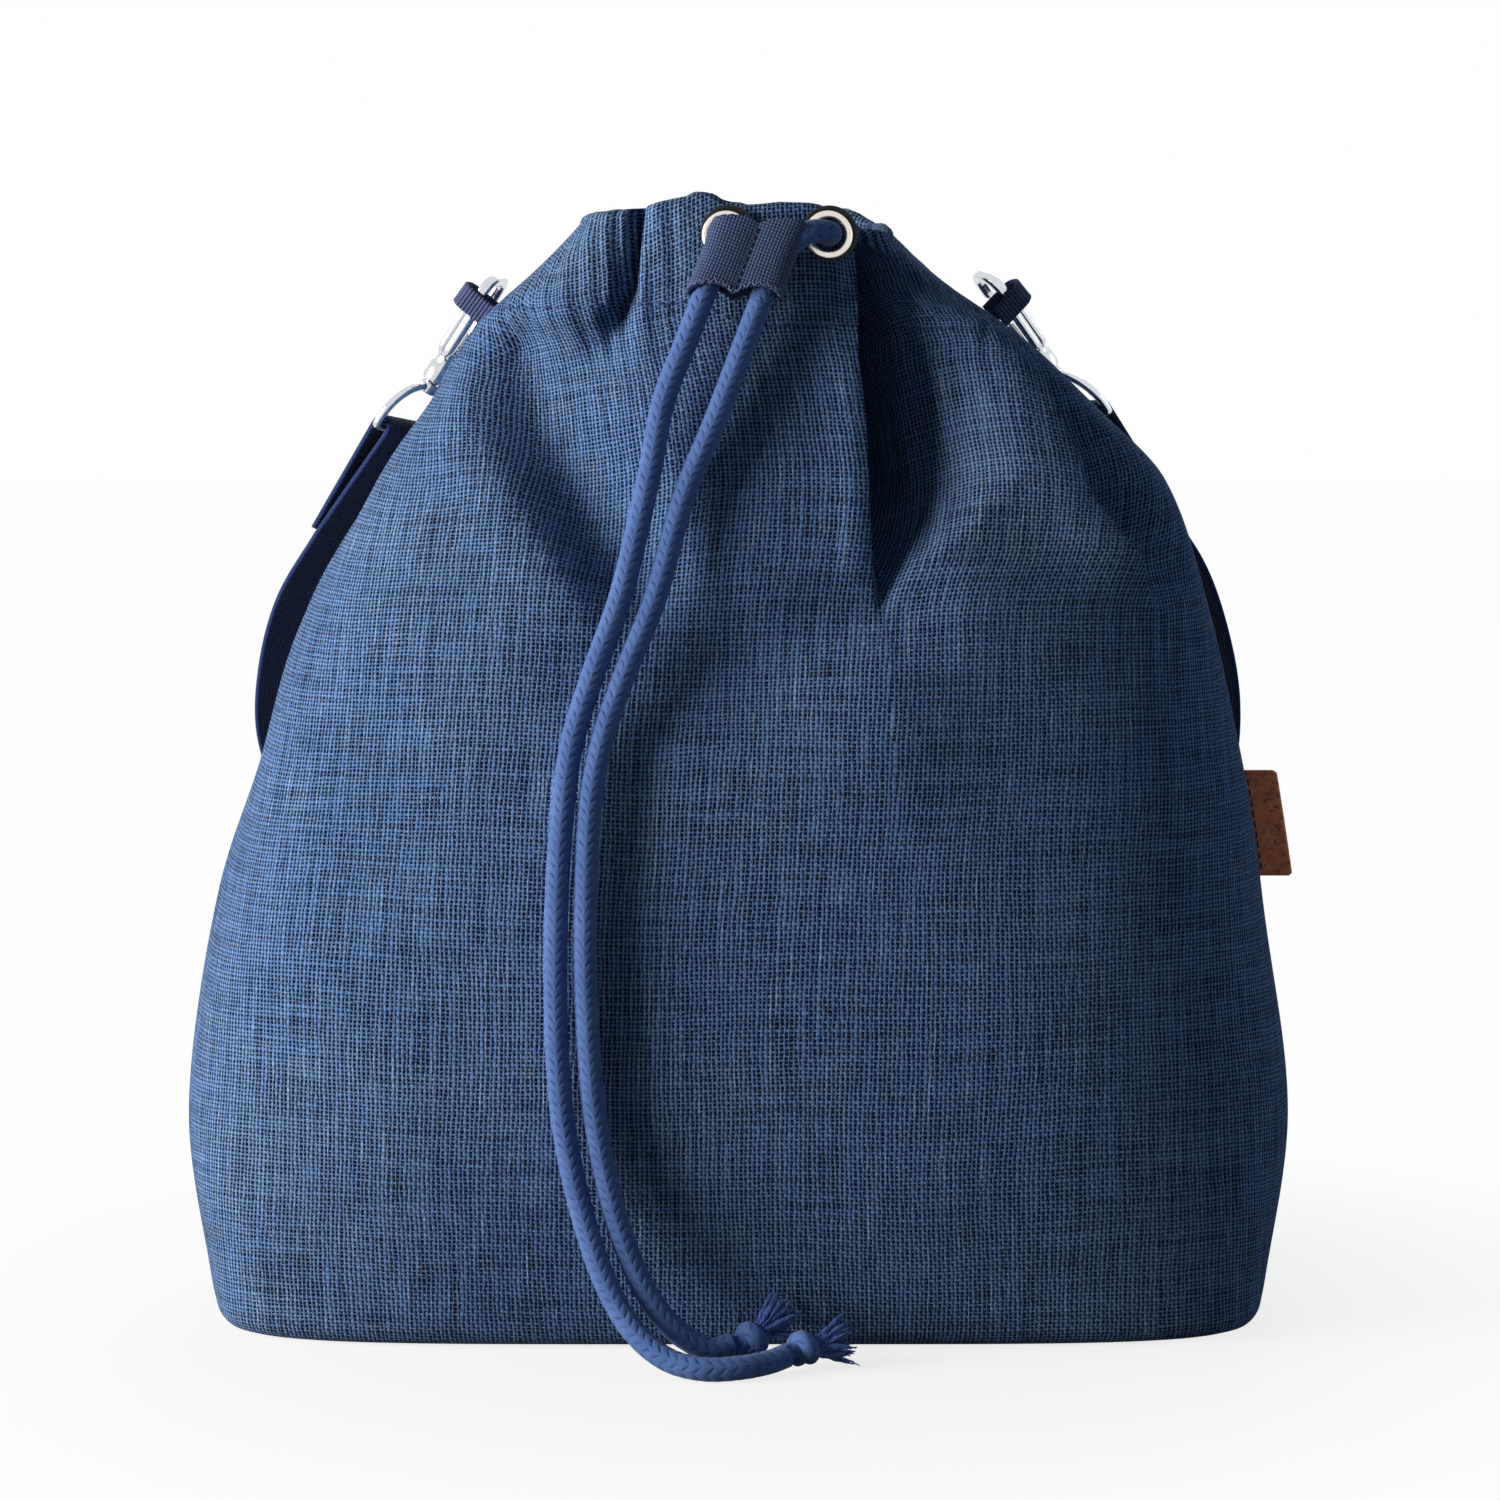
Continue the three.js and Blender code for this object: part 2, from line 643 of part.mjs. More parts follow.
for (const [side, seat] of Object.entries(eyeletSeats)) {
  const stack = new THREE.Group();
  stack.position.copy(seat.point);
  stack.quaternion.setFromUnitVectors(yAxis, seat.facing);
  bag.add(stack);
  const gasketRadius = eyeletOuterDiameter / 2 + gasketRim;
  const gasketHole = barrelRadius + Math.SQRT2 * gasketShift + seamGap / 2;
  const gasket = ringProfile(gasketHole, gasketRadius, gasketLow, gasketLow + gasketThickness);
  const washer = ringProfile(barrelRadius + seamGap, eyeletOuterDiameter / 2, barrelLow, washerHigh);
  addPart(`eyelet_${side}`, new THREE.LatheGeometry(eyeletProfile, eyeletSides), nickel, stack);
  const gasketRing = addPart(`eyelet_gasket_${side}`, new THREE.LatheGeometry(gasket, eyeletSides), blackRubber);
  const toRight = xAxis.clone().addScaledVector(seat.facing, -xAxis.dot(seat.facing)).normalize();
  gasketRing.quaternion.copy(stack.quaternion);
  gasketRing.position.copy(seat.point).addScaledVector(toRight, gasketShift);
  gasketRing.position.addScaledVector(toRight.clone().cross(seat.facing), -gasketShift);
  addPart(`eyelet_washer_${side}`, new THREE.LatheGeometry(washer, eyeletSides), nickel, stack);
}

// Cord slider on the straight stretch of the cords

const cordDown = new THREE.Vector3(
  -Math.tan(toRadians(cordLean)),
  -Math.tan(toRadians(cordSlope)),
  -1,
).normalize();
const sliderAcross = xAxis.clone().addScaledVector(cordDown, -xAxis.dot(cordDown)).normalize();
const cordUp = cordDown.clone().negate();
const sliderBack = cordUp.clone().cross(sliderAcross);
const sliderFoot = frontFace(sliderFootX, eyeletHeight - sliderFootBelow).point;
sliderFoot.y -= sliderStandOff;
const channelRadius = cordDiameter / 2 + cordClearance;

function channelPoint(side, up) {
  return sliderFoot
    .clone()
    .addScaledVector(sliderAcross, (side * channelPitch) / 2)
    .addScaledVector(cordDown, -up);
}

// Section of the sleeve: two round channels joined by the sewn middle
const sleeveRadius = channelRadius + sliderWall;
const sewnHalf = sliderWall;
const waistTurn = Math.asin(sewnHalf / sleeveRadius);
const sleeveOutline = new THREE.Shape();
sleeveOutline.absarc(channelPitch / 2, 0, sleeveRadius, -Math.PI + waistTurn, Math.PI - waistTurn);
sleeveOutline.absarc(-channelPitch / 2, 0, sleeveRadius, waistTurn, 2 * Math.PI - waistTurn);
sleeveOutline.closePath();
for (const side of [-1, 1]) {
  const channel = new THREE.Path().absarc((side * channelPitch) / 2, 0, channelRadius, 0, 2 * Math.PI);
  sleeveOutline.holes.push(channel);
}
const sleeve = new THREE.ExtrudeGeometry(sleeveOutline, {
  depth: sliderLength,
  bevelEnabled: false,
  curveSegments: 10,
});
const throat = new THREE.BoxGeometry(2 * (channelPitch + sleeveRadius), 2 * sleeveRadius, 2 * sliderThroat);
throat.translate(0, sleeveRadius - channelRadius + seamGap / 2, sliderLength);
const softSleeve = cut(sleeve, throat);
softSleeve.applyMatrix4(new THREE.Matrix4().set(1, 0, 0, 0, 0, 1, 0, 0, sliderSkew, 0, 1, 0, 0, 0, 0, 1));
const slider = addPart("cord_slider", softSleeve, sliderWebbing);
slider.quaternion.setFromRotationMatrix(new THREE.Matrix4().makeBasis(sliderAcross, sliderBack, cordUp));
slider.position.copy(sliderFoot);

// Drawcord: the loop held by the slider, eyelets and casing, then the two free tails

function eyeletRun(side) {
  const seat = eyeletSeats[side < 0 ? "left" : "right"];
  const alongNormal = (distance) => seat.point.clone().addScaledVector(seat.facing, distance);
  const backEdge = sliderLength - sliderThroat + (side * sliderSkew * channelPitch) / 2;
  return [
    channelPoint(side, seamGap),
    channelPoint(side, backEdge / 2),
    channelPoint(side, backEdge),
    channelPoint(side, backEdge + cordDiameter).lerp(alongNormal(sliderStandOff), 0.45),
    alongNormal(flangeHigh + cordDiameter / 4),
    alongNormal(0),
    alongNormal(barrelLow - cordDiameter / 4),
  ];
}

const casingTurns = 26;
const leadTurn = 16; // degrees in which the cord goes from an eyelet to its place in the casing
const firstTurn = turnOnFront(eyeletOffsets.left, eyeletHeight) - leadTurn;
const lastTurn = turnOnFront(eyeletOffsets.right, eyeletHeight) - 360 + leadTurn;
const casingHeight = hemLow + hemHeight / 2;
const casingRun = Array.from({ length: casingTurns + 1 }, (_, i) => {
  const share = i / casingTurns;
  const fromEnd = Math.min(share, 1 - share) * casingTurns;
  const near = Math.max(1 - fromEnd / 3, 0);
  const inset = casingCordInset + (eyeletCordInset - casingCordInset) * near;
  const z = casingHeight + (eyeletHeight - casingHeight) * near;
  return bagPoint(firstTurn + (lastTurn - firstTurn) * share, z, inset);
});
const loopRoute = [...eyeletRun(-1), ...casingRun, ...eyeletRun(1).reverse()];
addPart("drawcord_loop", cordTube(loopRoute, loopSteps), braidedCord);

// Routes of the tails below the straight stretch, down the front of the bag and along the floor
const tailRoutes = {
  left: [
    [-22.9, -51.8, 221], [-29.9, -60.2, 191], [-37.2, -65.6, 170.5], [-42.2, -69.6, 153.3],
    [-44.9, -74.2, 128.8], [-45.8, -76.8, 104], [-45.5, -78.4, 79], [-43.7, -79.2, 59],
    [-39.4, -81, 39], [-33.4, -85.2, 22], [-26.4, -90.4, 11], [-18, -95.4, 5],
    [-9, -98.2, 3.2], [0, -96.8, 3.2], [7.6, -92, 3.6],
  ],
  right: [
    [-14.2, -52.6, 215.5], [-21.5, -60.4, 190], [-29.4, -65.6, 170.5], [-34.6, -69.4, 155],
    [-37.3, -72.6, 140], [-38.4, -76, 116.5], [-38.2, -78.2, 91.6], [-36.5, -79.2, 66.5],
    [-33.2, -80, 46.5], [-28.8, -81, 31], [-22.8, -82.6, 18], [-15.4, -83.8, 9],
    [-7.4, -82.8, 4.6],
  ],
};
const knotPlaces = {
  left: { knot: [15.6, -85.6, 5.2], tasselEnd: [28, -80, 6] },
  right: { knot: [2.8, -78.6, 6], tasselEnd: [12, -73.8, 12.6] },
};

for (const side of ["left", "right"]) {
  const sign = side === "left" ? -1 : 1;
  const knot = new THREE.Vector3(...knotPlaces[side].knot);
  const tasselEnd = new THREE.Vector3(...knotPlaces[side].tasselEnd);
  const lowerRoute = tailRoutes[side].map((place) => new THREE.Vector3(...place));
  const lastPlace = lowerRoute[lowerRoute.length - 1];
  const intoKnot = knot.clone().sub(lastPlace).normalize();
  const route = [
    channelPoint(sign, -seamGap),
    channelPoint(sign, -cordRun / 2),
    channelPoint(sign, -cordRun),
    ...lowerRoute,
    knot.clone().addScaledVector(intoKnot, -knotDiameter / 2 - seamGap),
  ];
  addPart(`drawcord_tail_${side}`, cordTube(route, tailSteps), braidedCord);

  const knotBall = addPart(`tail_knot_${side}`, new THREE.SphereGeometry(knotDiameter / 2, 12, 8), braidedCord);
  knotBall.position.copy(knot);
  const outOfKnot = tasselEnd.clone().sub(knot).normalize();
  const tasselProfile = [[0, 0], [cordDiameter / 2, 0], [tasselDiameter / 2, tasselLength], [0, tasselLength]];
  const brush = new THREE.LatheGeometry(
    tasselProfile.map(([radius, height]) => new THREE.Vector2(radius, height)),
    12,
  );
  const tassel = addPart(`tail_tassel_${side}`, brush, braidedCord);
  tassel.position.copy(knot).addScaledVector(outOfKnot, knotDiameter / 2 + seamGap);
  tassel.quaternion.setFromUnitVectors(yAxis, outOfKnot);
}

// Side tabs and swivel snap hooks, each built in a frame of its own: Y is out from the bag, X along the bag
// towards the back, and Z up the hook, or up the cloth for the tab. The origin is in the tab's back ply.

const tabHoleX = -(tabGap + tabThickness) / 2;
const tabHoleMiddle = tabRoot + tabHoleLength / 2;

// The folded webbing seen along its width, both ends sewn down on the cloth
function tabGeometry() {
  const foldCentre = tabRoot + tabHoleLength - tabGap / 2;
  const bend = (half, root, outline) => {
    outline.moveTo(half, root);
    outline.absarc(0, foldCentre, half, 0, Math.PI);
    outline.lineTo(-half, root);
    outline.lineTo(half, root);
    return outline;
  };
  const outline = bend(tabGap / 2 + tabThickness, 0, new THREE.Shape());
  outline.holes.push(bend(tabGap / 2, tabRoot, new THREE.Path()));
  const loop = new THREE.ExtrudeGeometry(outline, { depth: tabWidth, bevelEnabled: false, curveSegments: 6 });
  loop.translate(tabHoleX, -tabHoleMiddle, -tabWidth / 2);
  return loop;
}

// One bar of the hook's eye runs through the middle of the tab's loop
const eyeLeft = tabHoleX + hookBar / 2;
const eyeRight = eyeLeft + hookEyeWidth;
const eyeMiddle = (eyeLeft + eyeRight) / 2;
const eyeTop = tabWidth / 2 + hookTopClearance;
const eyeBottom = -hookEyeBelow;
const hookBottom = eyeBottom - hookBaseHeight;
const gateX = eyeRight + hookBar / 2;
const gatePivotZ = eyeBottom + gateBar / 2 + seamGap;
const gateTop = gatePivotZ + gateLength;
const ringBossTop = hookBottom - seamGap;
const ringHalf = strapWidth / 2 + strapSideClearance;
const ringInnerTop = ringBossTop - ringWire - seamGap;
const ringBarZ = ringInnerTop - ringHalf - ringSideRise - ringWire / 2;

function flatPlate(outline, thickness) {
  const plate = new THREE.ExtrudeGeometry(outline, { depth: thickness, bevelEnabled: false, curveSegments: 3 });
  plate.translate(0, 0, -thickness / 2);
  plate.rotateX(Math.PI / 2);
  return plate;
}

function roundedBox(left, right, low, high, radius, outline) {
  outline.moveTo(left + radius, low);
  outline.lineTo(right - radius, low);
  outline.absarc(right - radius, low + radius, radius, -Math.PI / 2, 0);
  outline.lineTo(right, high - radius);
  outline.absarc(right - radius, high - radius, radius, 0, Math.PI / 2);
  outline.lineTo(left + radius, high);
  outline.absarc(left + radius, high - radius, radius, Math.PI / 2, Math.PI);
  outline.lineTo(left, low + radius);
  outline.absarc(left + radius, low + radius, radius, Math.PI, (3 * Math.PI) / 2);
  return outline;
}

function uprightRod(diameter, low, high, x, sides) {
  const rod = new THREE.CylinderGeometry(diameter / 2, diameter / 2, high - low, sides);
  rod.rotateX(Math.PI / 2);
  rod.translate(x, 0, (low + high) / 2);
  return rod;
}

function crossRod(diameter, length, x, z, sides) {
  const rod = new THREE.CylinderGeometry(diameter / 2, diameter / 2, length, sides);
  rod.translate(x, 0, z);
  return rod;
}

function hookBodyGeometry() {
  const outer = roundedBox(
    eyeLeft - hookBar, eyeRight + hookBar, eyeBottom - hookBar, eyeTop + hookBar,
    hookEyeWidth / 2, new THREE.Shape(),
  );
  outer.holes.push(roundedBox(eyeLeft, eyeRight, eyeBottom, eyeTop, hookInnerRound, new THREE.Path()));
  const plate = flatPlate(outer, hookThickness);
  const flangeTop = -tabWidth / 2 - hookTopClearance;
  const flangeLength = flangeTop - eyeBottom;
  const flange = new THREE.BoxGeometry(hookBar, hookFlange, flangeLength);
  flange.translate(eyeLeft - hookBar / 2, 0, flangeTop - flangeLength / 2);
  const base = uprightRod(hookBaseDiameter, hookBottom, eyeBottom - seamGap, eyeMiddle, 20);
  const bore = uprightRod(
    studDiameter + 2 * studClearance, hookBottom - 1, 0, eyeMiddle, 16,
  );
  const gateway = new THREE.BoxGeometry(2 * hookBar, 2 * hookThickness, gateTop + seamGap - gatePivotZ);
  gateway.translate(eyeRight + hookBar, 0, (gateTop + seamGap + gatePivotZ) / 2);
  const slotDepth = gateBar / 2 + seamGap;
  const slot = new THREE.BoxGeometry(2 * hookBar, gateThickness + 2 * seamGap, 4 * slotDepth);
  slot.translate(eyeRight + hookBar, 0, gatePivotZ + slotDepth);
  const pinHole = crossRod(gatePinDiameter + 2 * gatePinClearance, 2 * hookThickness, gateX, gatePivotZ, 16);
  return cut(join(plate, flange, base), bore, gateway, slot, pinHole);
}

function gateGeometry() {
  const half = gateBar / 2;
  const outline = new THREE.Shape();
  outline.absarc(gateX, gatePivotZ, half, Math.PI, 2 * Math.PI);
  outline.lineTo(gateX + half, gateTop);
  outline.lineTo(gateX - half, gateTop);
  outline.closePath();
  const pivotHole = new THREE.Path();
  pivotHole.absarc(gateX, gatePivotZ, gatePinDiameter / 2 + gatePinClearance, 0, 2 * Math.PI);
  outline.holes.push(pivotHole);
  return flatPlate(outline, gateThickness);
}

// Leaf spring from the foot of the eye to the inner side of the gate
function springGeometry() {
  const footX = eyeMiddle + studHeadDiameter / 2 + seamGap;
  const foot = [footX, eyeBottom + seamGap + springWidth];
  const tip = [gateX - gateBar / 2 - seamGap - springThickness, gatePivotZ + gateLength / 3];
  const outline = new THREE.Shape([
    new THREE.Vector2(foot[0], foot[1]),
    new THREE.Vector2(foot[0] + springThickness, foot[1]),
    new THREE.Vector2(tip[0] + springThickness, tip[1]),
    new THREE.Vector2(tip[0], tip[1]),
  ]);
  return flatPlate(outline, springWidth);
}

function studGeometry() {
  const headLow = eyeBottom + seamGap;
  const shank = uprightRod(studDiameter, ringBossTop - ringBossHeight, headLow + studHeadHeight / 2, eyeMiddle, 16);
  const head = uprightRod(studHeadDiameter, headLow, headLow + studHeadHeight, eyeMiddle, 16);
  return join(shank, head);
}

// D-ring: straight bar for the strap, round top with a boss on the stud
function ringGeometry() {
  const dOutline = (half, low, outline) => {
    const archZ = ringBarZ + ringWire / 2 + ringSideRise;
    outline.moveTo(-half, low);
    outline.lineTo(half, low);
    outline.lineTo(half, archZ);
    outline.absarc(0, archZ, half, 0, Math.PI);
    outline.lineTo(-half, low);
    return outline;
  };
  const outer = dOutline(ringHalf + ringWire, ringBarZ - ringWire / 2, new THREE.Shape());
  outer.holes.push(dOutline(ringHalf, ringBarZ + ringWire / 2, new THREE.Path()));
  const loop = new THREE.ExtrudeGeometry(outer, { depth: ringWire, bevelEnabled: false, curveSegments: 9 });
  loop.translate(0, 0, -ringWire / 2);
  loop.rotateX(Math.PI / 2);
  loop.rotateZ(toRadians(ringTurn));
  loop.translate(eyeMiddle, 0, 0);
  const boss = uprightRod(ringBossDiameter, ringBossTop - ringBossHeight, ringBossTop, eyeMiddle, 20);
  const bore = uprightRod(
    studDiameter + 2 * studClearance, ringBossTop - 2 * ringBossHeight, ringBossTop + 1, eyeMiddle, 16,
  );
  return cut(join(loop, boss), bore);
}

const ringAcross = xAxis.clone().applyAxisAngle(zAxis, toRadians(ringTurn));
const hookFrames = {};

// Built on the left, and mirrored for the right
function addHook(side) {
  const mirrored = new THREE.Group();
  mirrored.scale.x = side === "left" ? 1 : -1;
  bag.add(mirrored);

  const { out, back, down } = hookHang[side];
  const up = new THREE.Vector3(out, -back, down).normalize();
  const { point, facing } = sideFace(side, tabBehindSeam, bagHeight - tabBelowRim);
  const outward = facing.clone().addScaledVector(up, -facing.dot(up)).normalize();
  const alongBag = outward.clone().cross(up);
  point.addScaledVector(facing, tabHoleMiddle + tabSeatGap).addScaledVector(alongBag, -tabHoleX);
  const frame = (yWay, zWay) => {
    const group = new THREE.Group();
    group.quaternion.setFromRotationMatrix(new THREE.Matrix4().makeBasis(alongBag, yWay, zWay));
    group.position.copy(point);
    mirrored.add(group);
    return group;
  };
  addPart(`side_tab_${side}`, tabGeometry(), tabWebbing, frame(facing, alongBag.clone().cross(facing)));
  const hook = frame(outward, up);
  addPart(`hook_body_${side}`, hookBodyGeometry(), chrome, hook);
  addPart(`hook_gate_${side}`, gateGeometry(), chrome, hook);
  addPart(`gate_pin_${side}`, crossRod(gatePinDiameter, hookThickness, gateX, gatePivotZ, 16), springSteel, hook);
  addPart(`gate_spring_${side}`, springGeometry(), springSteel, hook);
  addPart(`swivel_stud_${side}`, studGeometry(), chrome, hook);
  addPart(`swivel_ring_${side}`, ringGeometry(), chrome, hook);

  // Bar of the ring in the bag's frame, for the strap
  mirrored.updateMatrixWorld(true);
  const barMiddle = new THREE.Vector3(eyeMiddle, 0, ringBarZ);
  const bar = hook.localToWorld(barMiddle.clone());
  const turned = (direction) => hook.localToWorld(direction.clone().add(barMiddle)).sub(bar);
  hookFrames[side] = { bar, across: turned(ringAcross), down: turned(zAxis.clone().negate()) };
}

addHook("left");
addHook("right");

// Carry strap: one length of webbing, folded round both ring bars and hanging in a bow behind the bag

function strapEnd({ bar, across, down }, sign) {
  const outward = across.clone().cross(down).multiplyScalar(sign);
  const besideBar = ringWire / Math.SQRT2 + seamGap + strapThickness / 2;
  const besidePly = (strapThickness + strapPlyGap) / 2;
  const place = (along, aside) => bar.clone().addScaledVector(down, along).addScaledVector(outward, aside);
  const overBar = Array.from({ length: strapFoldSteps + 1 }, (_, i) => {
    const turn = (Math.PI * i) / strapFoldSteps;
    return place(-besideBar * Math.sin(turn), besideBar * Math.cos(turn));
  });
  return [place(strapFoldBack, besidePly), ...overBar, place(strapFoldBack, -besidePly)];
}

const leftEnd = strapEnd(hookFrames.left, 1);
const rightEnd = strapEnd(hookFrames.right, -1).reverse();

// The long bow, from the left sewn end round behind the bag to the right one
const bowCurve = new THREE.CatmullRomCurve3([
  leftEnd[leftEnd.length - 1],
  ...strapBow.map((place) => new THREE.Vector3(...place)),
  rightEnd[0],
]);
const bow = bowCurve.getSpacedPoints(strapSteps).slice(1, -1);
const strapRoute = [...leftEnd, ...bow, ...rightEnd];
const strapAcross = [
  ...leftEnd.map(() => hookFrames.left.across),
  ...bow.map((_, i) => {
    const share = (2 * (i + 1)) / strapSteps - 1;
    return yAxis.clone().lerp(hookFrames[share < 0 ? "left" : "right"].across, Math.abs(share));
  }),
  ...rightEnd.map(() => hookFrames.right.across),
];
addPart("strap_webbing", ribbon(strapRoute, strapAcross, strapWidth, strapThickness), strapWebbing);

// Side label: folded cork let into the right seam

const labelEdge = [-1, 1].map((end) => {
  const z = labelMiddle + (end * labelHeight) / 2;
  return new THREE.Vector2(sizeAt(z, "right") + seamGap, z);
});
const labelOutline = new THREE.Shape([
  labelEdge[0],
  labelEdge[0].clone().add(new THREE.Vector2(labelReach, 0)),
  labelEdge[1].clone().add(new THREE.Vector2(labelReach, 0)),
  labelEdge[1],
]);
addPart("side_label", flatPlate(labelOutline, labelThickness), cork);

export default bag;
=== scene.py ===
import bpy
import bmesh
import json
import math
import numpy as np
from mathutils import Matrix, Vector


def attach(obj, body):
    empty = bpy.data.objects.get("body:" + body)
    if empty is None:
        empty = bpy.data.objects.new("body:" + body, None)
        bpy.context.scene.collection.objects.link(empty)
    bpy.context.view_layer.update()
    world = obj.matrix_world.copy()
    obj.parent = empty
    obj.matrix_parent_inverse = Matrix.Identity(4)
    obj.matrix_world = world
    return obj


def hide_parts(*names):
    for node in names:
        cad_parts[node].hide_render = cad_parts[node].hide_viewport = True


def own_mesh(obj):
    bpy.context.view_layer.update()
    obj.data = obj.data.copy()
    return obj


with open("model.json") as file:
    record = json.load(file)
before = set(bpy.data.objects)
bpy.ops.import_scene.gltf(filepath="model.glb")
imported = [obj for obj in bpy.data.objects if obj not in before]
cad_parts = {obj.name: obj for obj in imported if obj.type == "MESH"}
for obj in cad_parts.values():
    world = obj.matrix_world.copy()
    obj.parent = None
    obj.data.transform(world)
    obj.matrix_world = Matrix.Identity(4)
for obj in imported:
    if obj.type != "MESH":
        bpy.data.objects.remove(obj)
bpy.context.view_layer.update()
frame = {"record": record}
scene = bpy.context.scene
scene.view_settings.view_transform = "Standard"
mm = 0.001
fullTurn = 2 * math.pi
dice = np.random.default_rng(11)
joints = {joint["name"]: joint for joint in frame["record"]["behaviour"]["joints"]}
print("frame loaded")

# camera at the photograph's place, in mm; halfView is half the picture's width over its distance
lookout = {"at": (2.5, -1210, 270), "aim": (2.5, -65, 153), "halfView": 0.16291, "sensor": 36}


def stand(name, data, at, aim):  # a camera or lamp, turned to the point that it looks at
    thing = bpy.data.objects.new(name, data)
    scene.collection.objects.link(thing)
    thing.location = at
    thing.rotation_euler = (Vector(aim) - Vector(at)).to_track_quat("-Z", "Y").to_euler()
    return thing


cameraData = bpy.data.cameras.new("lookout")
cameraData.sensor_width = lookout["sensor"]
cameraData.lens = lookout["sensor"] / 2 / lookout["halfView"]
scene.camera = stand("lookout", cameraData, Vector(lookout["at"]) * mm, Vector(lookout["aim"]) * mm)
print("camera set")


class Wire:  # a socket that can be used in sums
    def __init__(self, maker, socket):
        self.maker = maker
        self.socket = socket

    def __add__(self, other):
        return self.maker.sum("ADD", self, other)

    def __sub__(self, other):
        return self.maker.sum("SUBTRACT", self, other)

    def __rsub__(self, other):
        return self.maker.sum("SUBTRACT", other, self)

    def __mul__(self, other):
        return self.maker.sum("MULTIPLY", self, other)

    def __truediv__(self, other):
        return self.maker.sum("DIVIDE", self, other)

    def __rtruediv__(self, other):
        return self.maker.sum("DIVIDE", other, self)

    def __abs__(self):
        return self.maker.sum("ABSOLUTE", self)

    __radd__ = __add__
    __rmul__ = __mul__


class Nodes:  # the nodes of a material or of the sky
    def __init__(self, tree):
        self.tree = tree
        tree.nodes.clear()

    def feed(self, socket, value):
        if isinstance(value, Wire):
            self.tree.links.new(value.socket, socket)
        else:
            socket.default_value = value

    def add(self, kind, settings=None, sockets=None, out=0):
        node = self.tree.nodes.new(kind)
        for key, value in (settings or {}).items():
            setattr(node, key, value)
        for key, value in (sockets or {}).items():
            self.feed(node.inputs[key], value)
        return Wire(self, node.outputs[out]) if node.outputs else node  # the last node has no outputs

    def sum(self, how, a, b=0.0):
        return self.add("ShaderNodeMath", {"operation": how}, {0: a, 1: b})

    def sine(self, halfTurns):
        return self.sum("SINE", halfTurns * math.pi)

    def clamp(self, value, low, high, toLow=0.0, toHigh=1.0):
        sockets = {"Value": value, "From Min": low, "From Max": high, "To Min": toLow, "To Max": toHigh}
        return self.add("ShaderNodeMapRange", {"interpolation_type": "SMOOTHSTEP"}, sockets)

    def tint(self, factor, a, b, how="MIX"):
        return self.add("ShaderNodeMix", {"data_type": "RGBA", "blend_type": how}, {0: factor, 6: a, 7: b}, out=2)

    def shade(self, colour, amount):  # colour times a value
        grey = self.add("ShaderNodeCombineColor", None, {0: amount, 1: amount, 2: amount})
        return self.tint(1.0, colour, grey, "MULTIPLY")

    def seen(self):  # 1 where the camera looks, also by way of metal or glass
        kinds = ("Camera", "Glossy", "Transmission")
        rays = [self.add("ShaderNodeLightPath", out=f"Is {kind} Ray") for kind in kinds]
        return self.sum("MAXIMUM", self.sum("MAXIMUM", rays[0], rays[1]), rays[2])

    def place(self):  # the piece's own flat coordinates, in mm
        flat = self.add("ShaderNodeUVMap", {"uv_map": "flat"})
        return [self.add("ShaderNodeSeparateXYZ", None, {0: flat}, out) for out in (0, 1)]

    def point(self, x, y):
        return self.add("ShaderNodeCombineXYZ", None, {0: x, 1: y})

    def body(self, scale):  # place in the bag's frame, in mm times scale
        where = self.add("ShaderNodeTexCoord", out="Object")
        return self.add("ShaderNodeVectorMath", {"operation": "MULTIPLY"}, {0: where, 1: (scale / mm,) * 3})

    def noise(self, where, scale=1.0, detail=2.0, rough=0.5):
        sockets = {"Vector": where, "Scale": scale, "Detail": detail, "Roughness": rough}
        return self.add("ShaderNodeTexNoise", {"noise_dimensions": "3D"}, sockets)

    def patches(self, u, v, each, shift=(0, 0), detail=1, rough=0.5):  # noise stretched over the flat coordinates
        x, y = (w * scale + move if move else w * scale for w, scale, move in zip((u, v), each, shift))
        return self.noise(self.point(x, y), 1, detail, rough)


class Paint(Nodes):  # one material
    def __init__(self, name, **fixed):
        self.material = bpy.data.materials.new(name)
        self.material.use_nodes = True
        super().__init__(self.material.node_tree)
        sockets = {socket.replace("_", " "): value for socket, value in fixed.items()}
        self.shader = self.add("ShaderNodeBsdfPrincipled", None, sockets)
        self.output = self.add("ShaderNodeOutputMaterial", None, {"Surface": self.shader})

    def set(self, socket, value):
        self.feed(self.shader.socket.node.inputs[socket], value)

    def relief(self, height, depth):
        self.set("Normal", self.add("ShaderNodeBump", None, {"Height": height, "Distance": depth * mm}))


def rgb(red, green, blue):  # screen colour, 0 to 255, as the shader wants it
    def straight(c):
        c = c / 255
        return c / 12.92 if c <= 0.04045 else ((c + 0.055) / 1.055) ** 2.4
    return (straight(red), straight(green), straight(blue), 1)


